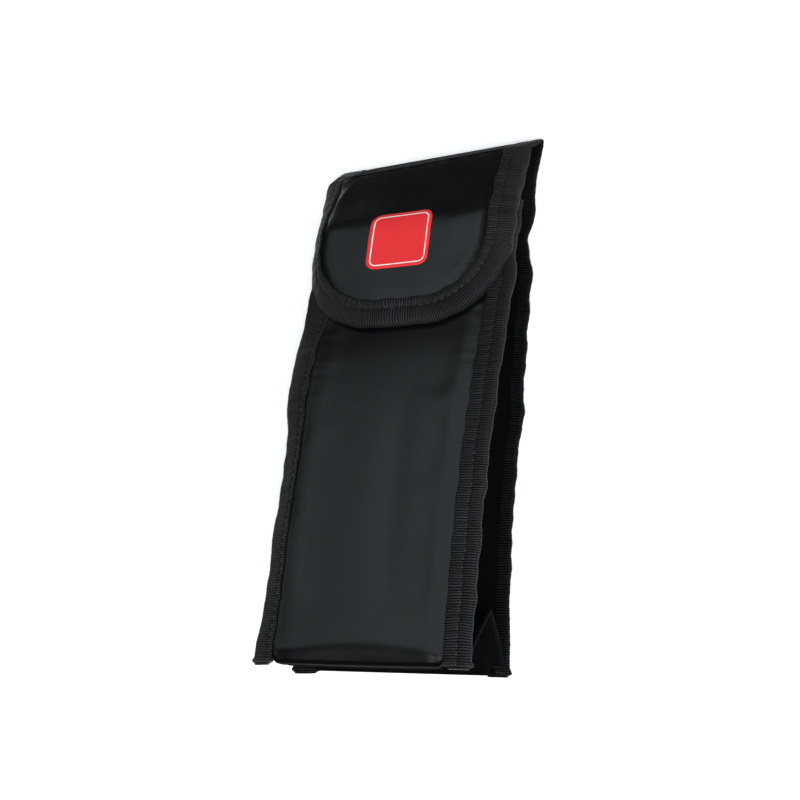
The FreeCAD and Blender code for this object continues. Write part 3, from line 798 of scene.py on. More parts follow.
def flapRise(x, s):
    gone = s - sFlapFold
    edge = flapEdge(x, s)[0]
    inside = smooth(wrapSize["tape"] - 2, wrapSize["tape"] + 3, edge)
    near = np.exp(-np.clip(edge - wrapSize["tape"] + 1, 0, None) / 3.0)
    pucker = near * flap["pucker"] * wander(52, s - x, 6)
    crease = flap["crease"] * hump(x + (gone - 5) * flap["creaseLean"], *flap["creaseAt"])
    crease = crease * smooth(1, 5, gone) * smooth(24, 12, gone)
    rise = (flapStart(x, s) + flapSettled(x, s) + crease) * inside * smooth(0, 4, gone)
    return rise + pucker * smooth(2, 8, gone)


def flapOuter(x, s):
    edge = flapEdge(x, s)[0]
    return flap["tuck"] * (1 - smooth(wrapSize["tape"] - 0.5, wrapSize["tape"] + 4, edge)) - flapRise(x, s)


def flapInner(x, s):
    thick = flap["thick"] + flap["foldExtra"] * smooth(sFlapFold - 0.5, sSplit, s)  # meets the back's lining
    return flapOuter(x, s) + thick + 0.1 * mottle(53, x, s, 22) * smooth(sSplit, sSplit + 8, s)


tipTurn = np.linspace(0, math.pi / 2, 14)
flapRows = np.concatenate([evenSteps(sSplit, sFlapFold + 8, flap["foldPitch"])[:-1],
                           evenSteps(sFlapFold + 8, sTip - flap["tipRun"], flap["pitch"])[:-1],
                           sTip - flap["inset"] - (flap["tipRun"] - flap["inset"]) * (1 - np.sin(tipTurn))])
flapPanel = padPanel("flapPanel", flapPoint, flapRows, seamColumns(flap["columns"], 0.2), flapInset,
                     flapOuter, flapInner, [coatedFabric, liningCloth, dullFold],
                     lambda x, s: 0.8 * hump(s, sFlapFold, 2.0) * (0.6 + 0.4 * mottle(54, x, s, 8)), 0,
                     lambda s: np.where(s < sFlapFold + 0.6, 2, 0))
print("flap panel: %d faces" % len(flapPanel.data.polygons))


# binding tape folded over an edge: a flat U with a stitched groove in its outer leg
def tapeSection(width, innerWidth, thick, leg):
    outerW = np.array([width, width - 0.12, *np.linspace(width - 0.5, 1.0, 19)])
    outerD = np.array([leg * 0.7, 0.12, *np.zeros(19)])
    bend = np.radians(np.linspace(-75, 75, 7))
    wrapW = 0.95 - 0.95 * np.cos(bend)
    wrapD = thick / 2 * (1 + np.sin(bend))
    innerW = np.array([*np.linspace(1.0, innerWidth - 0.4, 9), innerWidth])
    innerD = np.array([*np.full(9, thick), thick - leg * 0.6])
    slotW = np.array([innerWidth, leg + 0.4, leg, leg + 0.4, width])
    slotD = np.array([thick - leg, thick - leg, thick / 2, leg, leg])
    w = np.concatenate([outerW, wrapW, innerW, slotW])
    d = np.concatenate([outerD, wrapD, innerD, slotD])
    part = np.repeat([1, 0, 2, 3], [len(outerW), len(wrapW), len(innerW), len(slotW)])
    return w, d, part


def runAlong(x, y):
    return np.concatenate([[0], np.cumsum(np.hypot(np.diff(x), np.diff(y)))])


# how tapes puff up, dip at their stitches, waver and end
tapeForm = {"leg": 0.5, "puffFrom": 0.4, "puffPower": 0.6, "lump": 0.3, "pull": 0.35, "dip": 0.3,
            "dipReach": 0.55, "waver": 0.12, "edgeWaver": 0.3, "foldWaver": 0.2, "foldPull": 0.05,
            "endFrom": 0.2, "endTo": 3.6, "endLump": 0.4, "endVary": 0.35, "endThin": 0.8, "endIn": 1.4,
            "tipRound": 2.0}


# a path is four rows: place across and along, and the way inwards across and along
def bindTape(name, surface, path, shape, closeLow=False, closeHigh=False, lay=0.0):
    px, ps, ix, iz = [line[:, None] for line in path]
    width, groove, middle = shape["width"], shape["groove"], shape["thick"] / 2
    section = tapeSection(width, shape.get("innerWidth", width), shape["thick"], tapeForm["leg"])
    w, d, part = [line[None, :] for line in section]
    along = runAlong(path[0], path[1])
    gone = along[:, None]

    def sway(count, pitch, spot=gone):
        return wander(shape["seed"] + count, spot, pitch)

    phase = math.tau * gone / shape["stitch"]
    puff = 0 * w
    for low, high in ((tapeForm["puffFrom"], groove), (groove, width)):
        share = np.clip(1 - ((w - (low + high) / 2) / ((high - low) / 2)) ** 2, 0, 1)
        puff = np.maximum(puff, shape["puff"] * share ** tapeForm["puffPower"])
    lumps = 1 + tapeForm["lump"] * sway(1, 7) - tapeForm["pull"] * np.cos(phase) * (w > groove)
    dip = tapeForm["dip"] * hump(w, groove, tapeForm["dipReach"]) * (0.62 + 0.38 * np.cos(phase))
    share = w / width
    depth = d - (part == 1) * (puff * lumps - dip) + (part == 2) * tapeForm["waver"] * sway(2, 9)
    depth = depth - (part == 1) * tapeForm["waver"] * sway(3, 18) * share
    inner = np.clip((w - groove) / (width - groove), 0, 1)
    wide = w + inner * (tapeForm["waver"] * np.cos(phase) + tapeForm["edgeWaver"] * sway(4, 15))
    folded = tapeForm["foldPull"] * np.cos(phase + 1) + tapeForm["foldWaver"] * sway(5, 13)
    wide = wide - (1 - np.clip(w / 3, 0, 1)) * folded
    ends = 0 * gone  # 1 where the tape is folded shut past the panel
    for closed, left in ((closeLow, gone), (closeHigh, along[-1] - gone)):
        if closed:
            ends = np.maximum(ends, 1 - smooth(tapeForm["endFrom"], tapeForm["endTo"], left))
    shut = ends * (part == 3)
    depth = depth * (1 - shut) + middle * shut
    lump = ends * (part != 3) * (tapeForm["endLump"] + tapeForm["endVary"] * sway(6, 4.5, w + gone))
    depth = depth + lump * np.sign(depth - middle)
    thin = 1 - tapeForm["endThin"] * np.clip(ends * 1.6 - 0.8, 0, 1)  # pinched at the very end
    depth = middle + (depth - middle) * thin
    tip = np.clip(ends * 3.3 - 2.3, 0, 1) ** 2
    wide = wide - tapeForm["endIn"] * ends * (1 - share) + tapeForm["tipRound"] * tip * (1 - 2 * share)
    points = surface(px + ix * wide, ps + iz * wide, depth + lay)
    rows, count = points.shape[:2]
    run = runAlong(np.append(w, w[0, 0]), np.append(d, d[0, 0]))
    faces, places = [], []
    for i in range(rows - 1):
        for j in range(count):
            k = (j + 1) % count
            faces.append((i * count + j, i * count + k, (i + 1) * count + k, (i + 1) * count + j))
            places += [(along[i], run[j]), (along[i], run[j + 1]),
                       (along[i + 1], run[j + 1]), (along[i + 1], run[j])]
    # each end is closed leg by leg, so the slot stays open where the tape runs on
    for i in (0, rows - 1):
        ring = [i * count + j for j in range(count)]
        for cap in (ring[:24] + ring[-3:], ring[23:-2]):
            faces.append(tuple(cap))
            places += [(along[i], 0.0)] * len(cap)
    return makePiece(name, points.reshape(-1, 3), faces, [shape.get("finish", ribbedTape)], None, places)


# stitch lines are kept as paths for the thread
stitchPaths = {"pouch": [], "wrapLow": [], "wrapHigh": []}


def keepPath(group, surface, path, keep, inset, lay):
    px, ps, ix, iz = [line[keep] for line in path]
    stitchPaths[group].append(surface(px + ix * inset, ps + iz * inset, lay + 0 * px))


sideTape = {"width": 10.5, "thick": 2.5, "stitch": 3.0}
# the back tapes take the darker tape finish, a painted shade
backTape = dict(sideTape, innerWidth=5.4, stitch=3.1, puff=0.25, finish=shadedBackTapeCloth)
tapes = {
    "frontTapeRight": dict(sideTape, groove=5.2, puff=0.45, seed=100),
    "frontTapeLeft": dict(sideTape, groove=8.4, puff=0.4, seed=110),
    "backTapeRight": dict(backTape, groove=5.6, seed=120),
    "backTapeLeft": dict(backTape, groove=8.0, seed=130),
    "flapTape": {"width": 10.5, "thick": 3.3, "groove": 6.9, "puff": 0.6, "stitch": 2.9, "seed": 140},
    "mouthTape": {"width": 9.5, "thick": 3.4, "groove": 7.6, "puff": 0.15, "stitch": 3.0, "seed": 150},
}
frontAlong = np.concatenate([evenSteps(-0.2, 183.5, 0.75)[:-1], evenSteps(183.5, 186.9, 0.4)])
backAlong = np.concatenate([evenSteps(-0.2, 2, 0.4)[:-1], evenSteps(2, sBackFold - 8, 0.75)[:-1],
                            evenSteps(sBackFold - 8, sSplit, 0.4)])
stitchedBack = ((1.5, sBackFold - 2.6), (sBackFold + 2.6, sSplit))  # no stitch crosses the hard turn
pieces = {}
for word, side in (("Right", 1), ("Left", -1)):
    name = "frontTape" + word
    path = [0 * frontAlong + side * half, frontAlong, 0 * frontAlong - side, 0 * frontAlong]
    pieces[name] = bindTape(name, frontPoint, path, tapes[name], closeHigh=True)
    keepPath("pouch", frontPoint, path, slice(4, -6), tapes[name]["groove"], -0.1)
    name = "backTape" + word
    path = [0 * backAlong + side * half, backAlong, 0 * backAlong - side, 0 * backAlong]
    pieces[name] = bindTape(name, backPoint, path, tapes[name], closeLow=True)
    for low, high in stitchedBack:
        keep = (backAlong > low) & (backAlong < high)
        keepPath("wrapLow", backPoint, path, keep, tapes[name]["groove"], -0.06)

# the flap's tape: down its left side, round to the tip, and the same back up
edgeTurn = np.linspace(0, math.pi / 2, 78)
corner = wrapSize["corner"]
downRun = np.concatenate([evenSteps(sSplit, sFlapFold + 6, 0.4)[:-1],
                          evenSteps(sFlapFold + 6, sCorner, 0.75)[:-1]])
tipRun = evenSteps(-(half - corner), half - corner, 0.75)[1:-1]
leftX = np.concatenate([0 * downRun - half, -(half - corner) - corner * np.cos(edgeTurn)])
leftS = np.concatenate([downRun, sCorner + corner * np.sin(edgeTurn)])
leftIx = np.concatenate([0 * downRun + 1, np.cos(edgeTurn)])
leftIs = np.concatenate([0 * downRun, -np.sin(edgeTurn)])
path = [np.concatenate([leftX, tipRun, -leftX[::-1]]),
        np.concatenate([leftS, 0 * tipRun + sTip, leftS[::-1]]),
        np.concatenate([leftIx, 0 * tipRun, -leftIx[::-1]]),
        np.concatenate([leftIs, 0 * tipRun - 1, leftIs[::-1]])]
pieces["flapTape"] = bindTape("flapTape", flapPoint, path, tapes["flapTape"])
keepPath("wrapHigh", flapPoint, path, slice(None), tapes["flapTape"]["groove"], -0.1)

across = evenSteps(-32.2, 32.2, 0.75)
path = [across, 0 * across - 0.6, 0 * across, 0 * across + 1]
pieces["mouthTape"] = bindTape("mouthTape", frontPoint, path, tapes["mouthTape"], lay=-0.6)
keepPath("pouch", frontPoint, path, slice(2, -2), tapes["mouthTape"]["groove"], -0.72)
print("tapes: %d" % len(pieces))


# thin cloth from a grid of points, given its thickness along its own normals
def thinSheet(name, points, thick, flat, finish, wearAndHighlight=None):
    rows, cols = points.shape[:2]
    out = np.cross(np.gradient(points, axis=0), np.gradient(points, axis=1))
    out = out / np.maximum(np.linalg.norm(out, axis=-1, keepdims=True), 1e-9)
    both = np.concatenate([(points + out * way * thick / 2).reshape(-1, 3) for way in (1, -1)])
    size = rows * cols
    faces = gridFaces(rows, cols) + gridFaces(rows, cols, size)
    faces += [(a, b, b + size, a + size) for line in gridRim(rows, cols) for a, b in line]
    places = np.concatenate([flat.reshape(-1, 2)] * 2)[np.array(faces).ravel()]
    wearAndHighlightValues = np.zeros(size) if wearAndHighlight is None else np.broadcast_to(wearAndHighlight, (rows, cols)).ravel()
    return makePiece(name, both, faces, [finish], None, places, np.concatenate([wearAndHighlightValues, wearAndHighlightValues]))


# Catmull-Rom through the knots; each knot is an array over the width
def smoothPath(knots, count):
    knots = np.stack(knots)
    ends = np.concatenate([[2 * knots[0] - knots[1]], knots, [2 * knots[-1] - knots[-2]]])
    spots = np.linspace(0, len(knots) - 1 - 1e-9, count)
    rows = []
    for spot in spots:
        k = int(spot)
        t = spot - k
        a, b, c, d = ends[k:k + 4]
        curve = (2 * a - 5 * b + 4 * c - d) * t ** 2 + (3 * b - a - 3 * c + d) * t ** 3
        rows.append(0.5 * (2 * b + (c - a) * t + curve))
    return np.stack(rows)


# bottom: rolled at front and back, pleated up between them
pleat = {"half": 42.3, "thick": 0.8, "apex": (-83.4, 18.0), "base": -100.65}


def buildPleat():
    x = np.linspace(-pleat["half"], pleat["half"], 58)
    middle = 1 - smooth(30.5, 33.5, np.abs(x))
    wider = 1 - smooth(35.5, 38.5, np.abs(x))
    endFace = frontPanelPoint(x, 0 * x + sFrontEnd, frontOuter(x, 0 * x + sFrontEnd))
    backFace = backPanelPoint(x, 0 * x + sBackStart, 0 * x)
    apexY = pleat["apex"][0] + 0.4 * wander(61, x, 40)
    apexZ = pleat["apex"][1] + 0.7 * wander(62, x, 50)
    zTop = endFace[:, 2]
    zLow = backFace[:, 2]
    foot = pleat["base"] + 0.6
    bulge = 0.9 * wander(63, x, 36)

    def knot(y, z):
        return np.stack([x, y + 0 * x, z + 0 * x], -1)

    knots = [knot(foot + 2, zTop - 1.5 - 0.6 * (1 - middle)),
             knot(foot - 4.8 * middle, zTop - 1.3 - 0.9 * (1 - middle)),
             knot(foot - 5.7 * middle, zTop - 2.2 - 0.4 * (1 - middle)),
             knot(foot - 2.6 * middle, zTop - 3.3),
             knot(foot + 7, (zTop - 3.3) * 0.58 + apexZ * 0.42 + 0.7 * bulge),
             knot(foot + 14, (zTop - 3.3) * 0.16 + apexZ * 0.84 + 0.2 * bulge),
             knot(apexY - 0.8, apexZ + 0.6), knot(apexY, apexZ), knot(apexY - 0.8, apexZ - 0.6),
             knot(foot + 14, (zLow + 3.4) * 0.16 + apexZ * 0.84 - 0.2 * bulge),
             knot(foot + 7, (zLow + 3.4) * 0.58 + apexZ * 0.42 - 0.7 * bulge),
             knot(foot - 2.2 * wider, zLow + 3.6),
             knot(foot - 4.3 * wider, zLow + 2.6 + 0.2 * (1 - wider)),
             knot(foot - 3.4 * wider, zLow + 1.6 + 0.9 * (1 - wider)),
             knot(foot + 2, zLow + 1.6 + 0.8 * (1 - wider))]
    points = smoothPath(knots, 150)
    run = np.concatenate([[0], np.cumsum(np.linalg.norm(np.diff(points[:, 29], axis=0), axis=-1))])
    flat = np.stack(np.broadcast_arrays(x[None, :], run[:, None]), -1)
    # the pleat is lighter at its cut ends: a painted highlight along its rim
    wearAndHighlight = smooth(40.6, 42, np.abs(x))[None, :]
    piece = thinSheet("bottomPleat", points, pleat["thick"], flat, pleatAndShadeLineCloth, wearAndHighlight)
    return piece, run[-1]


bottomPleat, pleatRun = buildPleat()

# gussets: sewn into the bound edges, creased inwards, cut to the pleat at the bottom
gusset = {"thick": 0.35, "frontBend": 33.2, "backBend": 38.6, "frontIn": 30, "backIn": 12, "frontDepth": 1.75,
          "backDepth": 1.85, "fold": 9.0, "mouthFold": 4.2, "creasePower": 1.35, "low": -99.6, "high": 76.8,
          "peak": -81.6, "rows": 120, "wide": 26, "wrinkle": 0.75, "fineWrinkle": 0.3, "sag": 0.8}


def buildGusset(name, side, seed):
    rowShare = np.linspace(0, 1, gusset["rows"])
    cross = np.concatenate([np.linspace(-0.28, 0, 6)[:-1], np.linspace(0, 1, 29),
                            np.linspace(1, 1.28, 6)[1:]])
    r, c = np.meshgrid(rowShare, cross, indexing="ij")
    zeta = np.clip(c, 0, 1)
    peakShare = 1 - np.abs(2 * zeta - 1)
    low = gusset["low"] + (gusset["peak"] - gusset["low"]) * peakShare
    y = low + r * (gusset["high"] - low)
    sFront = np.interp(-y, -frontLine[1], frontLine[0])
    into = np.clip(c - 1, 0, None) * gusset["frontIn"]  # how far it runs in between the tape and the panel
    under = np.clip(-c, 0, None) * gusset["backIn"]
    sBack = y - wrapSize["low"]
    backSeam = backPoint(side * (gusset["backBend"] + under), sBack, 0 * y + gusset["backDepth"])
    frontSeam = frontPoint(side * (gusset["frontBend"] + into), sFront, 0 * y + gusset["frontDepth"])
    share = smooth(-0.12, 1.12, zeta) * 0.35 + zeta * 0.65
    points = backSeam * (1 - share[..., None]) + frontSeam * share[..., None]
    points[..., 1] = y
    deep = gusset["fold"] + (gusset["mouthFold"] - gusset["fold"]) * (y + 100) / 178
    crease = 1 - np.abs(2 * zeta - 1) ** gusset["creasePower"]
    wrinkle = gusset["wrinkle"] * mottle(seed, y, c * gusset["wide"], 30)
    wrinkle = wrinkle + gusset["fineWrinkle"] * mottle(seed + 1, y, c * gusset["wide"], 11)
    inward = deep * crease + wrinkle * np.sin(math.pi * zeta) * smooth(0, 0.12, r)
    points[..., 0] -= side * inward
    points[..., 2] += gusset["sag"] * mottle(seed + 2, y, c * 20, 44) * np.sin(math.pi * zeta)
    flat = np.stack([y, c * 30], -1)
    return thinSheet(name, points, gusset["thick"], flat, gussetCloth)


rightGusset = buildGusset("rightGusset", 1, 71)
leftGusset = buildGusset("leftGusset", -1, 81)
print("pleat and gussets made")

# closure patches and the plain label
closure = {"halfWidth": 18.0, "corner": 2.0, "base": 1.2, "pitch": 0.8, "columns": 41, "stitchIn": 1.2,
           "faceIn": 1.8}


def roundedHalf(low, high, wide, radius):
    def width(s):
        gap = np.minimum(s - low, high - s)
        cut = radius - np.sqrt(np.maximum(radius ** 2 - np.clip(radius - gap, 0, radius) ** 2, 0))
        return wide - cut
    return width


def roundRows(low, high, radius, pitch):
    ends = radius * (1 - np.cos(np.linspace(0, math.pi / 2, 7)))
    middle = evenSteps(low + radius, high - radius, pitch)
    return np.concatenate([low + ends[:-1], middle, high - ends[-2::-1]])


# where a node of the frame starts and ends along a line
def runOf(line, node):
    low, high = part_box(node)
    return [float(np.interp(-edge.y / mm, -line[1], line[0])) for edge in (high, low)]


def hookFaceDepth(x, s):
    return flapInner(x, s) + closure["base"]


def loopFaceDepth(x, s):
    return frontOuter(x, s) - closure["base"]


def buildPatch(name, surface, low, high, outer, inner, finish):
    rows = roundRows(low, high, closure["corner"], closure["pitch"])
    width = roundedHalf(low, high, closure["halfWidth"], closure["corner"])
    cols = np.linspace(-1, 1, closure["columns"])
    return padPanel(name, surface, rows, cols, width, outer, inner, [finish, finish])


hookLow, hookHigh = runOf(flapLine, "hook_patch")
loopLow, loopHigh = runOf(frontLine, "loop_patch")
hookPatch = buildPatch("hookPatch", flapPoint, hookLow, hookHigh,
                       lambda x, s: flapInner(x, s) - 0.1, hookFaceDepth, hookTape)
loopPatch = buildPatch("loopPatch", frontPoint, loopLow, loopHigh,
                       loopFaceDepth, lambda x, s: frontOuter(x, s) + 0.1, loopPile)

label = {"halfWidth": 12.0, "middle": -2.5, "lower": 2.0, "corner": 4.0, "thick": 0.28, "line": (1.3, 1.75)}


def buildLabel():
    low, high = runOf(flapLine, "badge")
    middle = (low + high) / 2
    tall = (high - low) / 2
    insets = [0.0, 0.12, 0.7, *label["line"], 3.0, 4.5, 6.0, 7.5, 9.0, 10.5, 11.5]

    def roundSquare(inset):
        radius = max(label["corner"] - inset, 0.3)
        wide, deep = label["halfWidth"] - inset - radius, tall - inset - radius
        ring = []
        for turn, (sx, sy) in enumerate(((1, 1), (-1, 1), (-1, -1), (1, -1))):
            for step in np.linspace(turn, turn + 1, 7) * math.pi / 2:
                ring.append((sx * wide + radius * math.cos(step), sy * deep + radius * math.sin(step)))
            nx, ny = ((-1, 1), (-1, -1), (1, -1), (1, 1))[turn]
            out = (turn + 1) * math.pi / 2
            far = (nx * wide + radius * math.cos(out), ny * deep + radius * math.sin(out))
            near = ring[-1]
            ring += [(near[0] + (far[0] - near[0]) * k / 13, near[1] + (far[1] - near[1]) * k / 13)
                     for k in range(1, 13)]
        return ring

    flat, lay = [], []
    for place, inset in enumerate([0.0] + insets):
        ring = roundSquare(inset)
        flat += ring
        lay += [0.0 if place == 0 else label["thick"] * (0.75 if place == 1 else 1.0)] * len(ring)
    count = len(ring)
    flat.append((0.0, 0.0))
    lay.append(label["thick"])
    flat, lay = np.array(flat), np.array(lay)
    x, s = flat[:, 0] + label["middle"], flat[:, 1] + middle + label["lower"]
    points = flapPoint(x, s, flapOuter(x, s) - lay)
    faces, finishOf = [], []
    for r in range(len(insets)):
        for j in range(count):
            k = (j + 1) % count
            faces.append((r * count + j, r * count + k, (r + 1) * count + k, (r + 1) * count + j))
            finishOf.append(1 if r == 4 else 0)
    last = len(insets) * count
    for j in range(count):
        faces.append((last + j, last + (j + 1) % count, len(flat) - 1))
        finishOf.append(0)
    faces.append(tuple(range(count)))
    finishOf.append(0)
    places = [flat[v] for face in faces for v in face]
    return makePiece("redLabel", points, faces, [labelRed, labelLine], finishOf, places)


redLabel = buildLabel()
print("closure and label made")


# Geometry Nodes: a small wrapper for trees; a link is a node, a socket or the name of an input
class Patch:
    def __init__(self, name, inputs):
        self.tree = bpy.data.node_groups.new(name, "GeometryNodeTree")
        self.tree.interface.new_socket("Geometry", in_out="OUTPUT", socket_type="NodeSocketGeometry")
        for title, kind in {"Path": "Geometry", **inputs}.items():
            self.tree.interface.new_socket(title, in_out="INPUT", socket_type="NodeSocket" + kind)
        self.entry = self.tree.nodes.new("NodeGroupInput")
        self.leave = self.tree.nodes.new("NodeGroupOutput")

    def add(self, kind, links=None, values=None, settings=None):
        made = self.tree.nodes.new(kind)
        for field, value in (settings or {}).items():
            setattr(made, field, value)
        for place, value in (values or {}).items():
            made.inputs[place].default_value = value
        for place, given in (links or {}).items():
            if isinstance(given, str):
                given = self.entry.outputs[given]
            elif isinstance(given, bpy.types.Node):
                given = given.outputs[0]
            self.tree.links.new(given, made.inputs[place])
        return made

    def close(self, spread):
        real = self.add("GeometryNodeRealizeInstances", {0: spread})
        done = self.add("GeometryNodeSetMaterial", {"Geometry": real, "Material": "Finish"})
        self.tree.links.new(done.outputs[0], self.leave.inputs[0])
        return self.tree


def stitchTree():
    patch = Patch("stitchRow", {"Pitch": "Float", "Length": "Float", "Thread": "Float", "Seed": "Int",
                                "Finish": "Material"})
    line = patch.add("GeometryNodeMeshToCurve", {0: "Path"})
    spaced = patch.add("GeometryNodeResampleCurve", {"Curve": line, "Length": "Pitch"}, None,
                       {"mode": "LENGTH"})
    ball = patch.add("GeometryNodeMeshUVSphere", None, {"Segments": 6, "Rings": 5, "Radius": 0.5})
    size = patch.add("ShaderNodeCombineXYZ", {0: "Length", 1: "Thread", 2: "Thread"})
    shaped = patch.add("GeometryNodeTransform", {"Geometry": ball, "Scale": size})
    tangent = patch.add("GeometryNodeInputTangent")
    turned = patch.add("FunctionNodeAlignRotationToVector", {"Vector": tangent}, None, {"axis": "X"})
    vary = patch.add("FunctionNodeRandomValue", {"Seed": "Seed"}, {2: 0.88, 3: 1.1}, {"data_type": "FLOAT"})
    return patch.close(patch.add("GeometryNodeInstanceOnPoints", {
        "Points": spaced, "Instance": shaped, "Rotation": turned, "Scale": vary.outputs[1]}))


def pileTree():
    patch = Patch("pileField", {"Density": "Float", "Gap": "Float", "Height": "Float", "Sweep": "Float",
                                "Thread": "Float", "Seed": "Int", "Finish": "Material"})
    spots = patch.add("GeometryNodeDistributePointsOnFaces",
                      {"Mesh": "Path", "Distance Min": "Gap", "Density Max": "Density", "Seed": "Seed"}, None,
                      {"distribute_method": "POISSON"})
    arc = patch.add("GeometryNodeCurveArc", {"Radius": "Height", "Sweep Angle": "Sweep"},
                    {"Resolution": 6, "Start Angle": 0.0}, {"mode": "RADIUS"})
    ring = patch.add("GeometryNodeCurvePrimitiveCircle", {"Radius": "Thread"}, {"Resolution": 4},
                     {"mode": "RADIUS"})
    tube = patch.add("GeometryNodeCurveToMesh", {"Curve": arc, "Profile Curve": ring})
    stand = patch.add("GeometryNodeTransform", {"Geometry": tube}, {"Rotation": (math.pi / 2, 0, 0)})
    spin = patch.add("FunctionNodeRandomValue", {"Seed": "Seed"},
                     {0: (-0.5, -0.5, 0), 1: (0.5, 0.5, math.tau)}, {"data_type": "FLOAT_VECTOR"})
    turned = patch.add("FunctionNodeRotateRotation", {0: spots.outputs["Rotation"], 1: spin}, None,
                       {"rotation_space": "LOCAL"})
    return patch.close(patch.add("GeometryNodeInstanceOnPoints", {
        "Points": spots, "Instance": stand, "Rotation": turned}))


def growNodes(name, source, tree, inputs):
    grow = source.modifiers.new("grow", "NODES")
    grow.node_group = tree
    for item in tree.interface.items_tree:
        if item.in_out == "INPUT" and item.name in inputs:
            grow[item.identifier] = inputs[item.name]
    source.update_tag()
    shown = source.evaluated_get(bpy.context.evaluated_depsgraph_get())
    mesh = bpy.data.meshes.new_from_object(shown)
    source.modifiers.remove(grow)
    bpy.data.objects.remove(source)
    mesh.name = name
    mesh.polygons.foreach_set("use_smooth", [True] * len(mesh.polygons))
    piece = bpy.data.objects.new(name, mesh)
    scene.collection.objects.link(piece)
    return piece


thread = {"Pitch": 3.0 * mm, "Length": 2.3 * mm, "Thread": 0.42 * mm, "Seed": 5, "Finish": blackThread}
stitchRow = stitchTree()
pileField = pileTree()


# a patch's stitch line, inside its edge
def edgeLoop(surface, low, high, lay):
    wide, inset = closure["halfWidth"] - closure["stitchIn"], closure["stitchIn"]
    ring = [(-wide, low + inset), (wide, low + inset), (wide, high - inset), (-wide, high - inset),
            (-wide, low + inset)]
    sides = list(zip(ring[:-1], ring[1:]))
    x, s = [np.concatenate([np.linspace(a[k], b[k], 24) for a, b in sides]) for k in (0, 1)]
    return surface(x, s, lay(x, s))


stitchPaths["pouch"].append(edgeLoop(frontPoint, loopLow, loopHigh, lambda x, s: loopFaceDepth(x, s) - 0.1))
stitchPaths["wrapHigh"].append(edgeLoop(flapPoint, hookLow, hookHigh, lambda x, s: hookFaceDepth(x, s) + 0.1))
stitches = {}
for group, name in (("pouch", "frontStitches"), ("wrapLow", "backStitches"), ("wrapHigh", "flapStitches")):
    points, edges = [], []
    for path in stitchPaths[group]:
        edges += [(len(points) + k, len(points) + k + 1) for k in range(len(path) - 1)]
        points += (path * mm).tolist()
    mesh = bpy.data.meshes.new(name + "Path")
    mesh.from_pydata(points, edges, [])
    source = bpy.data.objects.new(name + "Path", mesh)
    scene.collection.objects.link(source)
    stitches[name] = growNodes(name, source, stitchRow, thread)


def patchFace(name, surface, low, high, lay):
    inset = closure["faceIn"]
    rows = evenSteps(low + inset, high - inset, closure["pitch"])
    s, u = np.meshgrid(rows, np.linspace(-1, 1, closure["columns"]), indexing="ij")
    x = u * (closure["halfWidth"] - inset)
    return makePiece(name, surface(x, s, lay(x, s)).reshape(-1, 3), gridFaces(*s.shape), [])


loopFace = patchFace("loopFace", frontPoint, loopLow, loopHigh, loopFaceDepth)
hookFace = patchFace("hookFace", flapPoint, hookLow, hookHigh, hookFaceDepth)
for face, towards in ((loopFace, 1), (hookFace, -1)):
    if face.data.polygons[0].normal.z * towards < 0:
        face.data.flip_normals()
loopSize = {"Density": 6.0e6, "Gap": 0.00042, "Height": 0.26 * mm, "Sweep": math.pi, "Thread": 0.045 * mm,
            "Seed": 7, "Finish": loopPile}
hookSize = {"Density": 2.0e6, "Gap": 0.0009, "Height": 0.3 * mm, "Sweep": 4.2, "Thread": 0.08 * mm,
            "Seed": 9, "Finish": hookTape}
loops = growNodes("loopPileLoops", loopFace, pileField, loopSize)
hooks = growNodes("hookRows", hookFace, pileField, hookSize)
print("stitches %d faces, loops %d, hooks %d" % (sum(len(o.data.polygons) for o in stitches.values()),
                                                 len(loops.data.polygons), len(hooks.data.polygons)))

# what each piece rides on, and which parts of the frame the pieces stand for
for piece in (frontPanel, bottomPleat, leftGusset, rightGusset, pieces["frontTapeRight"],
              pieces["frontTapeLeft"], pieces["mouthTape"], loopPatch, loops, stitches["frontStitches"]):
    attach(piece, "pouch")
for piece in (redLabel, hookPatch, hooks):
    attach(piece, "flap")
for piece in (backPanel, pieces["backTapeRight"], pieces["backTapeLeft"], stitches["backStitches"]):
    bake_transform(piece)
for piece in (flapPanel, pieces["flapTape"], stitches["flapStitches"]):
    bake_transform(piece)

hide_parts("front_outer", "front_pad", "front_lining")
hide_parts("back_outer", "back_pad", "back_lining", "fold_lining")
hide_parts("flap_outer", "flap_pad", "flap_lining", "fold_outer")
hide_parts("bottom_pleat")
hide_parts("left_gusset")
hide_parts("right_gusset")
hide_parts("front_right_binding")
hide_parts("front_left_binding")
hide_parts("back_right_binding", "fold_right_binding")
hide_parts("back_left_binding", "fold_left_binding")
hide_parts("flap_binding")
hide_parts("mouth_binding")
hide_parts("hook_patch")
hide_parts("loop_patch")
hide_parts("badge")

print("pieces placed")

# pale floor under the case, with soft boxes away from what the panels mirror and two dim cards that they do
stageSize = {"floor": 5.0, "floorZ": -0.0006, "floorColour": 0.86, "lift": 0.32, "near": 0.35, "far": 1.1,
             "dim": 0.05}
white = (1, 1, 1, 1)


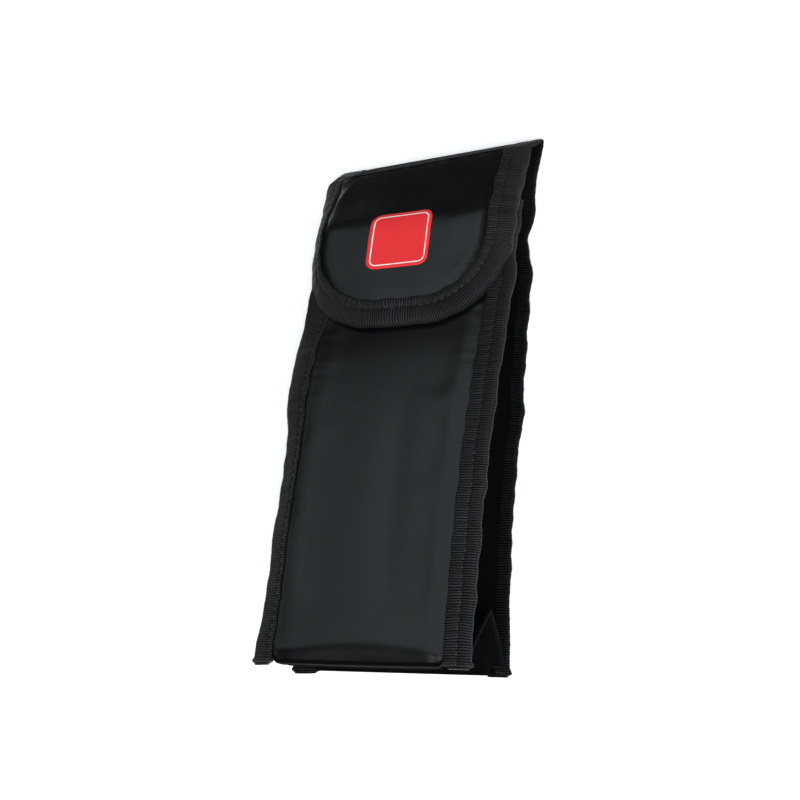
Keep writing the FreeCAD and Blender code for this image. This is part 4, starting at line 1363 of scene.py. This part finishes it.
def setFloor():
    reach = stageSize["floor"] / 2
    mesh = bpy.data.meshes.new("floor")
    corners = ((-reach, -reach), (reach, -reach), (reach, reach), (-reach, reach))
    mesh.from_pydata([(x, y, stageSize["floorZ"]) for x, y in corners], [], [(0, 1, 2, 3)])
    floor = bpy.data.objects.new("floor", mesh)
    scene.collection.objects.link(floor)
    paint = bpy.data.materials.new("paleFloor")
    paint.use_nodes = True
    tree = paint.node_tree
    tree.nodes.remove(tree.nodes["Principled BSDF"])
    wire = Wire(tree)
    ray = wire.node("ShaderNodeLightPath")
    kinds = ("Is Glossy Ray", "Is Transmission Ray")
    glossy, through = [Wire(tree, ray.socket.node.outputs[kind]) for kind in kinds]
    seen = ray + glossy + through
    matt = wire.node("ShaderNodeBsdfDiffuse", None, {"Color": grey(stageSize["floorColour"])})
    glow = wire.node("ShaderNodeEmission", None, {"Color": white, "Strength": seen * stageSize["lift"]})
    lit = wire.node("ShaderNodeAddShader", None, {0: matt, 1: glow})
    place = wire.node("ShaderNodeTexCoord", out=3)
    away = wire.node("ShaderNodeVectorMath", {"operation": "LENGTH"}, {0: place}, 1)
    faded = wire.node("ShaderNodeMapRange", {"interpolation_type": "SMOOTHSTEP"},
                      {"Value": away, "From Min": stageSize["near"], "From Max": stageSize["far"]})
    strength = ray + (seen - ray) * stageSize["lift"]
    plain = wire.node("ShaderNodeEmission", None, {"Color": white, "Strength": strength})
    both = wire.node("ShaderNodeMixShader", None, {0: faded, 1: lit, 2: plain})
    clear = wire.node("ShaderNodeBsdfTransparent")
    facing = wire.node("ShaderNodeNewGeometry", out=6)
    shown = wire.node("ShaderNodeMixShader", None, {0: facing, 1: both, 2: clear})
    tree.links.new(shown.socket, tree.nodes["Material Output"].inputs[0])
    mesh.materials.append(paint)


lamps = {
    "softBoxRight": {"place": (0.62, -0.42, 0.82), "size": (1.0, 1.0), "level": 14.0},
    "softBoxLow": {"place": (0.2, -0.86, 0.74), "size": (1.2, 1.2), "level": 10.0},
    "dimCard": {"place": (-0.2, 0.29, 0.8), "size": (0.5, 1.08), "level": 1.3, "facing": (0, 0, -1),
                "tint": (0.86, 0.99, 1.03)},
    "dimCardLeft": {"place": (-0.72, 0.29, 0.8), "size": (0.54, 1.08), "level": 0.82, "facing": (0, 0, -1),
                    "tint": (0.86, 0.99, 1.03)},
}


def setLamps():
    for name, lamp in lamps.items():
        light = bpy.data.lights.new(name, "AREA")
        light.shape = "RECTANGLE"
        light.size, light.size_y = lamp["size"]
        light.energy = lamp["level"]
        light.color = lamp.get("tint", (1, 1, 1))
        lampObject = bpy.data.objects.new(name, light)
        scene.collection.objects.link(lampObject)
        aim = Vector(lamp.get("facing", Vector((0, 0, 0.01)) - Vector(lamp["place"])))
        turn = aim.to_track_quat("-Z", "Y").to_matrix().to_4x4()
        lampObject.matrix_world = Matrix.Translation(lamp["place"]) @ turn
    sky = bpy.data.worlds.new("studio")
    sky.use_nodes = True
    wire = Wire(sky.node_tree)
    seen = wire.node("ShaderNodeLightPath")
    dim = wire.node("ShaderNodeBackground", None, {"Color": (0.8, 0.9, 1.0, 1), "Strength": stageSize["dim"]})
    bright = wire.node("ShaderNodeBackground", None, {"Color": white, "Strength": 1.0})
    both = wire.node("ShaderNodeMixShader", None, {0: seen, 1: dim, 2: bright})
    sky.node_tree.links.new(both.socket, sky.node_tree.nodes["World Output"].inputs[0])
    scene.world = sky


setFloor()
setLamps()
